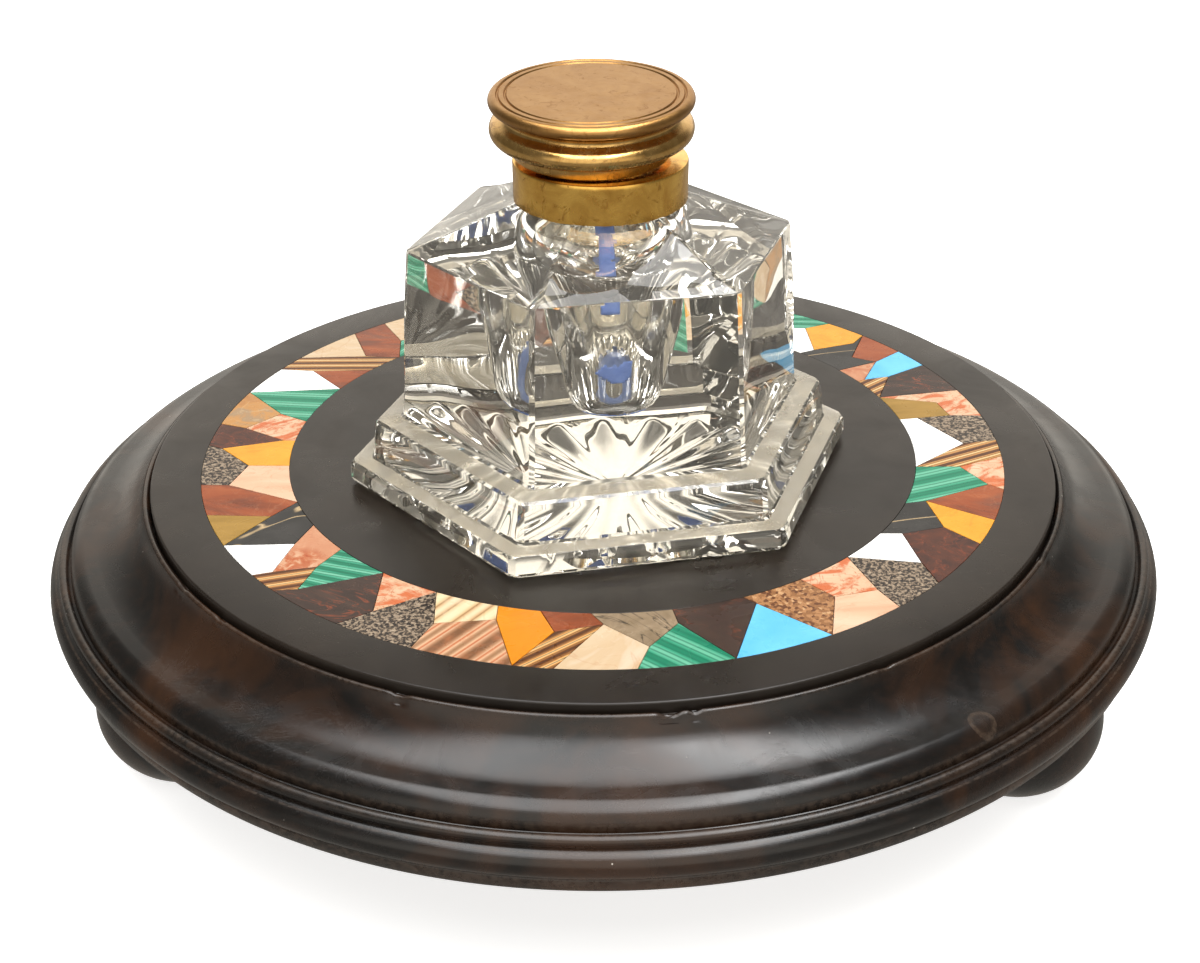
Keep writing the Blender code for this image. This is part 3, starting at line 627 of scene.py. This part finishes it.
# Corners of the stones: degrees round the ring and share of its width, as on the CAD stones.
# Each row is the CAD node, then for each stone its kind, the turn of its pattern and its corners.
STONES = [
    ("stone_01_striped_and_veined",
     ("striped", 28, [(351, 0), (0, .6), (1, 1), (356, 1), (352, .5)]),
     ("veined", 28, [(352, .5), (356, 1), (346, 1), (347, .82)])),
    ("stone_02_white_and_granite",
     ("white", 0, [(351, 0), (10, 0), (10, .22), (0, .6)]),
     ("granite", 0, [(10, .22), (10, .63), (9, 1), (1, 1), (0, .6)])),
    ("stone_03_olive_and_veined",
     ("olive", 5, [(10, 0), (20, 0), (15, .6), (10, .63), (10, .22)]),
     ("veined", 12, [(20, 0), (18, 1), (9, 1), (10, .63), (15, .6)])),
    ("stone_04_brown_and_striped",
     ("brown", 0, [(20, 0), (27, .42), (28, 1), (18, 1)]),
     ("striped", 42, [(20, 0), (28, 0), (28, .1), (27, .42)])),
    ("stone_05_turquoise_and_coral",
     ("turquoise", 0, [(28, .1), (33, .55), (34, 1), (28, 1), (27, .42)]),
     ("coral", 10, [(28, 0), (34, 0), (33, .55), (28, .1)])),
    ("stone_06_brick_and_black",
     ("red", 0, [(33, .55), (37, .4), (42, 1), (34, 1)]),
     ("black", 0, [(34, 0), (45, 0), (44, .2), (41, .73), (42, 1), (37, .4), (33, .55)])),
    ("stone_07_yellow_and_green",
     ("yellow", 0, [(44, .2), (51, .68), (49, 1), (42, 1), (41, .73)]),
     ("malachite", 0, [(51, .68), (53, .58), (56, 1), (49, 1)])),
    ("stone_08_white", ("white", 0, [(45, 0), (54, 0), (53, .58), (51, .68), (44, .2)])),
    ("stone_09_pink_and_olive",
     ("pink", 0, [(54, 0), (64, 0), (60, .5), (53, .58)]),
     ("olive", 0, [(53, .58), (60, .5), (63, 1), (56, 1)])),
    ("stone_10_granite_and_red",
     ("granite", 0, [(60, .5), (64, 0), (72, .6), (71, 1), (63, 1)]),
     ("red", 0, [(64, 0), (76, 0), (72, .6)])),
    ("stone_11_malachite", ("malachite", 0, [(72, .6), (76, 0), (86, 0), (82, 1), (71, 1)])),
    ("stone_12_cream_and_black",
     ("cream", 0, [(86, 0), (94, 0), (90, .6)]),
     ("black", 0, [(82, 1), (86, 0), (90, .6), (92, 1)])),
    ("stone_13_yellow_and_striped",
     ("yellow", 0, [(90, .6), (94, 0), (101, .5), (102, 1), (92, 1)]),
     ("striped", 20, [(94, 0), (107, 0), (101, .5)])),
    ("stone_14_maroon_and_white",
     ("maroon", 0, [(101, .5), (107, 0), (112, .7), (111, 1), (102, 1)]),
     ("white", 0, [(107, 0), (118, 0), (112, .7)])),
    ("stone_15_orange", ("orange", 0, [(112, .7), (118, 0), (121, 1), (111, 1)])),
    ("stone_16_cream_and_green",
     ("cream", 0, [(118, 0), (125, .3), (131, .4), (129, 1), (121, 1)]),
     ("malachite", 0, [(118, 0), (136, 0), (131, .4), (125, .3)])),
    ("stone_17_red", ("red", 0, [(131, .4), (136, 0), (140, .35), (135, 1), (129, 1)])),
    ("stone_18_cream_and_striped",
     ("cream", 0, [(140, .35), (147, 1), (135, 1)]),
     ("striped", 0, [(136, 0), (144, 0), (150, .61), (152, 1), (147, 1), (140, .35)])),
    ("stone_19_red_and_white",
     ("red", 0, [(144, 0), (154, 0), (150, .61)]),
     ("white", 0, [(150, .61), (154, 0), (161, 1), (152, 1)])),
    ("stone_20_malachite", ("straight", -6, [(154, 0), (169, 0), (167, .37), (161, 1)])),
    ("stone_21_amber", ("orange", 40, [(167, .37), (173, .67), (172, 1), (161, 1)])),
    ("stone_22_veined_and_maroon",
     ("veined", 28, [(169, 0), (177, 0), (177, .14), (173, .67), (167, .37)]),
     ("maroon", 0, [(173, .67), (177, .14), (180, .83), (179, 1), (172, 1)])),
    ("stone_23_yellow", ("yellow", 0, [(177, 0), (187, 0), (186, .47), (180, .83), (177, .14)])),
    ("stone_24_granite", ("granite", 0, [(180, .83), (186, .47), (192, .69), (191, 1), (179, 1)])),
    ("stone_25_pink", ("pink", 0, [(187, 0), (201, 0), (192, .69), (186, .47)])),
    ("stone_26_red_and_olive",
     ("red", -12, [(192, .69), (201, 0), (204, .35), (200, 1), (191, 1)]),
     ("olive", 0, [(204, .35), (209, 1), (200, 1)])),
    ("stone_27_black", ("black", 48, [(201, 0), (210, 0), (214, .34), (209, 1), (204, .35)])),
    ("stone_28_white_and_striped",
     ("white", 0, [(214, .34), (219, .8), (218, 1), (209, 1)]),
     ("striped", 16, [(219, .8), (222, .4), (225, .8), (223, 1), (218, 1)])),
    ("stone_29_pink", ("coral", 15, [(210, 0), (220, 0), (222, .4), (219, .8), (214, .34)])),
    ("stone_30_malachite", ("malachite", 0, [(220, 0), (231, 0), (225, .8), (222, .4)])),
    ("stone_31_brown", ("brown", -20, [(231, 0), (237, .62), (235, 1), (223, 1), (225, .8)])),
    ("stone_32_veined_and_granite",
     ("veined", 0, [(231, 0), (242, 0), (237, .62)]),
     ("granite", 0, [(242, 0), (246, .52), (246, 1), (235, 1), (237, .62)])),
    ("stone_33_cream_and_banded",
     ("agate", 55, [(242, 0), (253, 0), (254, .25), (246, .52)]),
     ("banded", 52, [(246, .52), (254, .25), (259, 1), (246, 1)])),
    ("stone_34_orange", ("amber", 0, [(253, 0), (260, 0), (263, .36), (259, 1), (254, .25)])),
    ("stone_35_red_and_striped",
     ("red", 0, [(260, 0), (268, 0), (270, .2), (263, .36)]),
     ("striped", 40, [(263, .36), (270, .2), (264, 1), (259, 1)])),
    ("stone_36_cream_and_grey",
     ("cream", 60, [(270, .2), (276, .63), (274, 1), (264, 1)]),
     ("dendritic", -45, [(268, 0), (281, 0), (281, .26), (276, .63), (270, .2)])),
    ("stone_37_malachite", ("straight", -40, [(276, .63), (281, .26), (286, 1), (274, 1)])),
    ("stone_38_brown_and_turquoise",
     ("brown", 0, [(281, 0), (293, 0), (294, .16), (286, 1), (281, .26)]),
     ("turquoise", 0, [(294, .16), (299, 1), (286, 1)])),
    ("stone_39_granular", ("granular", 0, [(293, 0), (304, 0), (305, .46), (299, 1), (294, .16)])),
    ("stone_40_veined_and_pink",
     ("veined", 0, [(304, 0), (315, 0), (311, .64), (305, .46)]),
     ("pink", 0, [(305, .46), (311, .64), (310, 1), (299, 1)])),
    ("stone_41_granite_and_white",
     ("granite", 0, [(315, 0), (321, .65), (318, 1), (310, 1), (311, .64)]),
     ("white", 0, [(315, 0), (325, 0), (327, .2), (321, .65)])),
    ("stone_42_maroon", ("maroon", 0, [(327, .2), (332, .54), (330, 1), (318, 1), (321, .65)])),
    ("stone_43_black_and_yellow",
     ("black", 0, [(325, 0), (337, 0), (339, .2), (332, .54), (327, .2)]),
     ("yellow", 0, [(332, .54), (339, .2), (337, 1), (330, 1)])),
    ("stone_44_red_and_malachite",
     ("red", 0, [(339, .2), (347, .82), (346, 1), (337, 1)]),
     ("straight", 22, [(337, 0), (351, 0), (352, .5), (347, .82), (339, .2)])),
]


def ring_point(corner):
    degrees, share = corner
    radius = INLAY_INNER + (INLAY_OUTER - INLAY_INNER) * share
    return Vector((math.cos(math.radians(degrees)), math.sin(math.radians(degrees)))) * radius


def area(points):
    return sum(a.x * b.y - b.x * a.y for a, b in zip(points, points[1:] + points[:1])) / 2


def stone_outline(corners):
    """The stone's outline, counter-clockwise: arcs along the ring's edges, and moved in by half a joint."""
    if area([ring_point(c) for c in corners]) < 0:
        corners = corners[::-1]
    points = []
    for first, second in zip(corners, corners[1:] + corners[:1]):
        points.append(ring_point(first))
        turn = (second[0] - first[0] + 180) % 360 - 180
        if first[1] == second[1] and first[1] in (0, 1):
            steps = max(1, round(abs(turn)))
            points += [ring_point((first[0] + turn * i / steps, first[1])) for i in range(1, steps)]
    half_joint = 0.05
    moved = []
    for i, here in enumerate(points):
        before = (here - points[i - 1]).normalized()
        after = (points[(i + 1) % len(points)] - here).normalized()
        normal_a, normal_b = Vector((-before.y, before.x)), Vector((-after.y, after.x))
        moved.append(here + (normal_a + normal_b) * half_joint / (1 + normal_a.dot(normal_b)))
    return moved


def make_stone(name, node, kind, turn, corners, seed):
    """A stone from its outline, with a fine bevel round the top. Stones lie up to 0.03 mm low."""
    top = SLATE_TOP - random.Random(seed).uniform(0.0, 0.03)
    outline = stone_outline(corners)
    shape = bmesh.new()
    verts = [shape.verts.new((p.x * MM, p.y * MM, top * MM)) for p in outline]
    face = shape.faces.new(verts)
    made = bmesh.ops.extrude_face_region(shape, geom=[face])
    low = [v for v in made["geom"] if isinstance(v, bmesh.types.BMVert)]
    bmesh.ops.translate(shape, verts=low, vec=(0, 0, (STONE_BOTTOM - top) * MM))
    bmesh.ops.recalc_face_normals(shape, faces=shape.faces)
    edges = [e for e in shape.edges if all(abs(v.co.z - top * MM) < 1e-7 for v in e.verts)]
    bmesh.ops.bevel(shape, geom=edges, offset=0.05 * MM, segments=1, affect="EDGES")
    mesh = finished_mesh(name, shape)
    add_piece(name, mesh, stone_material(name, kind, turn, seed), "stand", [node])


def make_stones():
    count = 0
    for node, *stones in STONES:
        for kind, turn, corners in stones:
            count += 1
            make_stone(f"inlay_{count:02d}_{kind}", node, kind, turn, corners, count)


# The inkwell.

SIDES = [GLASS_TURN + 60 * side for side in range(6)]
HALF_SIDE = math.radians(30)


def directions():
    """246 directions round the glass in degrees, each with the middle of its side: 41 on a side, which
    stop short of the corners and so leave a narrow facet there."""
    steps = [0.85] + [1.5 * k for k in range(1, 40)] + [59.15]
    return [(side + step, side + 30) for side in SIDES for step in steps]


def hexagon(radius, height, uneven=0.0):
    """A ring in the shape of a hexagon, at its corners' radius. The faces can be a little uneven."""
    places = []
    for degrees, middle in directions():
        angle = math.radians(degrees)
        reach = radius * math.cos(HALF_SIDE) / math.cos(angle - math.radians(middle))
        x, y = reach * math.cos(angle), reach * math.sin(angle)
        swell = 1 + uneven / radius * noise.noise(Vector((x * 0.055, y * 0.055, height * 0.075)))
        places.append((x * swell, y * swell, height))
    return places


def circle(radius, height):
    """The hexagon's directions, all at one radius."""
    turns = [math.radians(degrees) for degrees, _ in directions()]
    return [(radius * math.cos(t), radius * math.sin(t), height) for t in turns]


FLUTES = 24
FLUTE_TURN = math.radians(82.5)


def star_ring(radius, depth):
    """A ring of the cut underside, whose flutes run out from the middle."""
    ring = []
    for x, y, _ in circle(radius, 0):
        crest = 0.5 + 0.5 * math.cos(FLUTES * (math.atan2(y, x) + FLUTE_TURN))
        ring.append((x, y, GLASS_BOTTOM + depth * crest))
    return ring


# The shoulder: the radius of its lower corners, their height, its rise per mm, and the neck's radius.
SHOULDER_RADIUS, SHOULDER_HEIGHT, SHOULDER_RISE = 35.9, 46.05, 0.43
NECK_FOOT_RADIUS = 15.6


def shoulder_ring(share):
    """A ring part of the way from the body's top edge to the foot of the neck, on six sloping facets."""
    top_flat = SHOULDER_RADIUS * math.cos(HALF_SIDE)
    outward = [math.radians(side + 30) for side in SIDES]
    ring = []
    for (ax, ay, _), (bx, by, _) in zip(hexagon(SHOULDER_RADIUS, 0), circle(NECK_FOOT_RADIUS, 0)):
        x, y = ax + (bx - ax) * share, ay + (by - ay) * share
        reach = max(x * math.cos(t) + y * math.sin(t) for t in outward)
        dip = 0.35 * math.sin(math.pi * share) + 0.25 * noise.noise(Vector((x * 0.12, y * 0.12, 7)))
        dip = dip * (1 - share) * min(1, share * 6)
        ring.append((x, y, SHOULDER_HEIGHT + SHOULDER_RISE * (top_flat - reach) - dip))
    return ring


# The well's wall, from the neck down to its floor: (radius, height above the slate).
WELL = [(9.0, 57.0), (9.0, 53.0), (9.1, 51.8), (9.6, 50.3), (10.6, 48.9), (11.8, 47.6), (12.7, 46.0),
        (13.2, 44.2), (13.4, 42.2), (13.35, 40.0), (13.1, 37.5), (12.7, 35.0), (11.9, 31.5),
        (11.0, 28.2), (10.1, 25.2), (9.4, 22.5), (8.9, 20.6), (8.3, 18.9), (7.3, 17.4), (5.9, 16.4),
        (4.2, 15.8), (2.4, 15.55)]
WELL_FLOOR = 15.5


def make_glass(glass, worn):
    """One skin: out under the base, up over the two plates, the body and the neck, and down the well."""
    flutes = ((4, 0.0), (9, 0.05), (14, 0.18), (19, 0.42), (24, 0.8), (30, 1.35), (34, 1.75),
              (36.2, 1.95), (36.9, 1.7), (37.2, 0.0))
    plates = ((47.9, GLASS_BOTTOM), (48.9, 1.0), (49.2, 1.6), (49.05, 3.6), (48.8, 4.3), (48.35, 4.75),
              (47.7, 4.9), (45.6, 4.9), (44.95, 5.05), (44.6, 5.5), (44.2, 8.5), (43.9, 11.4), (43.6, 12.3),
              (43.1, 12.75), (42.4, 12.9), (39.6, 12.9), (38.9, 13.1), (38.5, 13.6))
    neck = [(14.9, 53.3), (14.2, 53.45), (13.7, 53.8), (13.6, 54.3), (13.6, NECK_TOP - 0.5),
            (13.4, NECK_TOP - 0.15), (13.0, NECK_TOP), (9.6, NECK_TOP), (9.2, NECK_TOP - 0.2),
            (9.0, NECK_TOP - 0.6)]
    rings = [star_ring(r, d) for r, d in flutes] + [hexagon(r, z, 0.1) for r, z in plates]
    rings += [hexagon(38.5 - 2.35 * k / 12, 13.6 + 31.9 * k / 12, 0.34) for k in range(1, 13)]
    rings += [hexagon(36.05, 45.9, 0.34)]
    rings += [shoulder_ring(s) for s in (0.0, 0.12, 0.25, 0.4, 0.55, 0.7, 0.85, 1.0)]
    rings += [circle(r, z) for r, z in neck + WELL]
    mesh = mesh_from_rings("glass", rings, ((0, 0, GLASS_BOTTOM), (0, 0, WELL_FLOOR)))
    add_piece("cut_glass_well", mesh, glass, "inkwell", ["inkwell_glass"],
              (0, WELL_Y, SLATE_TOP), sharp=24)
    # The flat tops of the two plates are worn.
    mesh.materials.append(worn)
    for face in mesh.polygons:
        if face.normal.z > 0.8 and 4.5 * MM < face.center.z < 13.3 * MM:
            face.material_index = 1


def make_collar(metal):
    """A thin cap of brass over the neck, with a hole for the lid's liner."""
    def dented(angle, radius, height):
        """The thin collar is a little out of round, and its lower edge wanders."""
        if radius < COLLAR_RADIUS - 0.4:
            return radius, height
        wobble = noise.noise(Vector((math.cos(angle) * 2, math.sin(angle) * 2, height * 0.15)))
        low_edge = 0.18 * noise.noise(Vector((math.cos(angle) * 5, math.sin(angle) * 5, 3)))
        return radius - 0.12 * abs(wobble), height + (low_edge if height < COLLAR_LOW + 0.4 else 0)

    bore = COLLAR_RADIUS - 1.0
    lip = 11.2
    under = NECK_TOP + 0.3
    outer = COLLAR_RADIUS
    profile = [(lip, COLLAR_TOP), (outer - 0.35, COLLAR_TOP), (outer - 0.1, COLLAR_TOP - 0.1)]
    profile += [(outer, COLLAR_TOP - 0.35 - 0.75 * k) for k in range(9)]
    profile += [(outer - 0.05, COLLAR_LOW + 0.25), (outer - 0.2, COLLAR_LOW + 0.2), (bore, COLLAR_LOW + 0.2),
                (bore, under), (lip, under)]
    mesh = turned_mesh("collar", profile, 144, dented)
    add_piece("brass_collar", mesh, metal, "inkwell", ["neck_collar"], (0, WELL_Y, SLATE_TOP))


def make_lid(metal, satin):
    """The plate with its two turned lines, the moulded ring, and the liner with its dished underside."""
    groove = 0.30
    plate = [(0, 0)]
    for radius in (15.3, 16.7):
        plate += [(radius - groove, 0), (radius - 0.08, -0.32), (radius + 0.08, -0.32), (radius + groove, 0)]
    plate += arc((17.3, -1.15), (1.15, 1.15), 86, -70, 14) + [(16.4, -2.3), (0, -2.3)]
    add_piece("lid_plate", turned_mesh("lid_plate", plate, 160), satin, "lid", ["lid_top_plate"],
              LID_MIDDLE, LID_TILT)
    top, bore = -2.45, 11.0
    cove = arc((17.4, -3.55), (1.25, 0.95), 122, 238, 9)
    roll = arc((16.4, -6.4), (2.0, 1.9), 68, -80, 18)
    ring = [(bore, top)] + cove + roll
    ring += [(15.7, -8.35), (15.45, -8.5), (15.2, -8.85), (14.8, -9.0), (14.55, -9.1), (14.5, -9.3),
             (14.5, -10.6), (14.42, -10.8), (14.2, -10.9), (bore, -10.9)]
    add_piece("lid_moulding", turned_mesh("lid_moulding", ring, 160), metal, "lid", ["lid_moulded_ring"],
              LID_MIDDLE, LID_TILT)
    liner = [(0, -7.4), (10.7, -7.4), (10.7, -10.9), (8.6, -10.9), (8.6, -11.9), (8.45, -12.1), (8.2, -12.2),
             (7.2, -12.2), (6.4, -11.0), (5.2, -10.5), (3.6, -10.2), (1.8, -9.98), (0, -9.9)]
    add_piece("lid_dish", turned_mesh("lid_dish", liner, 96), metal, "lid", ["lid_liner"],
              LID_MIDDLE, LID_TILT)


# Where the run of ink comes down, near the front, in degrees round the well.
RUN_SIDE = 272
DEGREES_IN_RADIAN = 57.3


def inked(degrees, radius, height):
    """Whether a place on the well's wall is stained: by the run, the spot below it, or the dregs."""
    angle = math.radians(degrees)
    spot = Vector((radius * math.cos(angle), radius * math.sin(angle), height))
    fray = noise.noise(spot * 0.45) + 0.6 * noise.noise(spot * 1.3)
    across = (degrees - RUN_SIDE + 180) % 360 - 180 + 5 * noise.noise(Vector((0, 0, height * 0.22)))
    run = height > 38 and abs(across) * radius / DEGREES_IN_RADIAN < 1.5 + 0.5 * fray
    aside, above = (across - 4) * radius / DEGREES_IN_RADIAN / 3.4, (height - 26.5) / 2.4
    spatter = aside ** 2 + above ** 2 < 0.8 + 0.7 * fray
    dregs = height < 17.2 and radius < 6.4 + 2.2 * fray
    return run or spatter or dregs


def make_ink(ink):
    """Dried ink, cut from a fine grid that lies just inside the glass of the well's wall."""
    shape = bmesh.new()
    wall = [(r + 0.06, z) for r, z in WELL]
    columns, turn = 120, 3
    rows = []
    for (r0, z0), (r1, z1) in zip(wall, wall[1:]):
        parts = max(1, round(math.hypot(r1 - r0, z1 - z0) / 0.5))
        rows += [(r0 + (r1 - r0) * k / parts, z0 + (z1 - z0) * k / parts) for k in range(parts)]
    grid = {}

    def corner(i, j):
        if (i, j) not in grid:
            angle = math.radians(turn * i)
            radius, height = rows[j]
            place = Vector((radius * math.cos(angle), radius * math.sin(angle), height))
            grid[i, j] = shape.verts.new(place * MM)
        return grid[i, j]

    for j in range(len(rows) - 1):
        for i in range(columns):
            radius, height = (rows[j][0] + rows[j + 1][0]) / 2, (rows[j][1] + rows[j + 1][1]) / 2
            if inked(turn * i + turn / 2, radius, height):
                k = (i + 1) % columns
                shape.faces.new((corner(i, j), corner(k, j), corner(k, j + 1), corner(i, j + 1)))
    bmesh.ops.recalc_face_normals(shape, faces=shape.faces)
    mesh = finished_mesh("ink", shape)
    piece = add_piece("dried_ink", mesh, ink, "inkwell", None, (0, WELL_Y, SLATE_TOP))
    skin = piece.modifiers.new("thickness", "SOLIDIFY")
    skin.thickness = 0.05 * MM
    skin.offset = 0.0


def finish_cad_nodes(metal, grout):
    """The hinge and the hidden cement keep their CAD shapes and take finished materials."""
    finishes = {"hinge_collar_leaf": metal, "hinge_lid_leaf": metal, "hinge_pin": metal,
                "inlay_cement_bed": grout, "collar_cement": grout}
    for name, material in finishes.items():
        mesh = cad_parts[name].data
        mesh.materials.clear()
        mesh.materials.append(material)


# The studio, in metres.

def make_floor():
    """A table that reaches far back in low views too. It lies just under the feet, and the polish
    reflects the room instead of it."""
    shape = bmesh.new()
    bmesh.ops.create_grid(shape, x_segments=1, y_segments=1, size=40.0)
    mesh = finished_mesh("floor", shape)
    floor = add_object("floor", mesh)
    floor.location.z = -0.0002
    mesh.materials.append(floor_material())
    floor.visible_glossy = False


def add_area(name, where, size, power):
    """A rectangular lamp that looks straight down, with its power in watts."""
    lamp = bpy.data.lights.new(name, "AREA")
    lamp.shape = "RECTANGLE"
    lamp.size, lamp.size_y = size
    lamp.energy = power
    light = add_object(name, lamp)
    light.location = where
    light.rotation_euler = Vector((0, 0, -where[2])).to_track_quat("-Z", "Y").to_euler()


def make_lights():
    """A wide soft box over the object and the camera, and a narrow one just under it on each side: a
    faint one on the left and a stronger one on the right."""
    add_area("overhead_box", (0.0, -0.24, 0.88), (0.82, 1.16), 12.6)
    add_area("left_tube", (-0.26, -0.14, 0.86), (0.22, 0.84), 0.9)
    add_area("right_tube", (0.26, -0.14, 0.86), (0.22, 0.84), 4.2)


def make_world():
    """A warm room: bright in front and behind, dark to the left and right, and dim below the table's edge."""
    world = bpy.data.worlds.new("studio")
    bpy.context.scene.world = world
    world.use_nodes = True
    tree = world.node_tree
    place = tree.nodes.new("ShaderNodeTexCoord")
    split = tree.nodes.new("ShaderNodeSeparateXYZ")
    tree.links.new(place.outputs["Generated"], split.inputs["Vector"])

    def smooth(output, first, last, low, high):
        node = tree.nodes.new("ShaderNodeMapRange")
        node.interpolation_type = "SMOOTHSTEP"
        for name, value in (("From Min", first), ("From Max", last), ("To Min", low), ("To Max", high)):
            node.inputs[name].default_value = value
        tree.links.new(split.outputs[output], node.inputs["Value"])
        return node.outputs["Result"]

    def maths(operation, a, b):
        node = tree.nodes.new("ShaderNodeMath")
        node.operation = operation
        tree.links.new(a, node.inputs[0])
        tree.links.new(b, node.inputs[1])
        return node.outputs["Value"]

    walls = maths("ADD", smooth("Y", -0.85, -0.45, 1.10, 0.0), smooth("Y", 0.62, 0.88, 0.16, 1.40))
    horizon = (-0.12, 0.02)
    above = maths("MULTIPLY", walls, smooth("Z", *horizon, 0.0, 1.0))
    both = maths("ADD", above, smooth("Z", *horizon, 0.36, 0.0))
    background = tree.nodes["Background"]
    background.inputs["Color"].default_value = (1.0, 0.94, 0.84, 1.0)
    tree.links.new(both, background.inputs["Strength"])


def make_camera():
    """The camera looks down at the front of the inkwell, through a 55.7 mm lens and a little rolled."""
    eye = Vector((0.0, -325.6, 217.3)) * MM
    aim = Vector((-0.5, -14.8, 48.0)) * MM
    roll = math.radians(-0.44)
    back = (eye - aim).normalized()
    right = Vector((0, 0, 1)).cross(back).normalized()
    up = back.cross(right)
    rolled_right = right * math.cos(roll) + up * math.sin(roll)
    rolled_up = up * math.cos(roll) - right * math.sin(roll)
    lens = bpy.data.cameras.new("camera")
    lens.lens = 55.72
    lens.sensor_width = 36.0
    lens.sensor_fit = "HORIZONTAL"
    lens.clip_start = 0.01
    camera = add_object("camera", lens)
    facing = Matrix((rolled_right, rolled_up, back)).transposed().to_4x4()
    camera.matrix_world = Matrix.Translation(eye) @ facing
    bpy.context.scene.camera = camera


def main():
    wood = ebonised_wood()
    lid_brass = brass("lid_brass", (0.74, 0.47, 0.17), (0.52, 0.29, 0.08), (0.24, 0.10, 0.03),
                      0.16, 0.30, 1.1)
    collar_brass = brass("collar_brass", (1.0, 0.62, 0.15), (0.66, 0.34, 0.065), (0.28, 0.105, 0.022),
                         0.14, 0.32, 0.1)
    satin = brass("satin_brass", (0.45, 0.25, 0.086), (0.37, 0.190, 0.058), (0.26, 0.115, 0.032),
                  0.30, 0.42, 1.4)
    make_stand(wood)
    make_feet(wood)
    make_slate(slate_stone())
    make_stones()
    make_glass(crystal(), worn_crystal())
    make_collar(collar_brass)
    make_lid(lid_brass, satin)
    make_ink(dried_ink())
    finish_cad_nodes(collar_brass, cement())
    make_floor()
    make_lights()
    make_world()
    make_camera()
    bpy.context.scene.view_settings.view_transform = "Standard"


main()
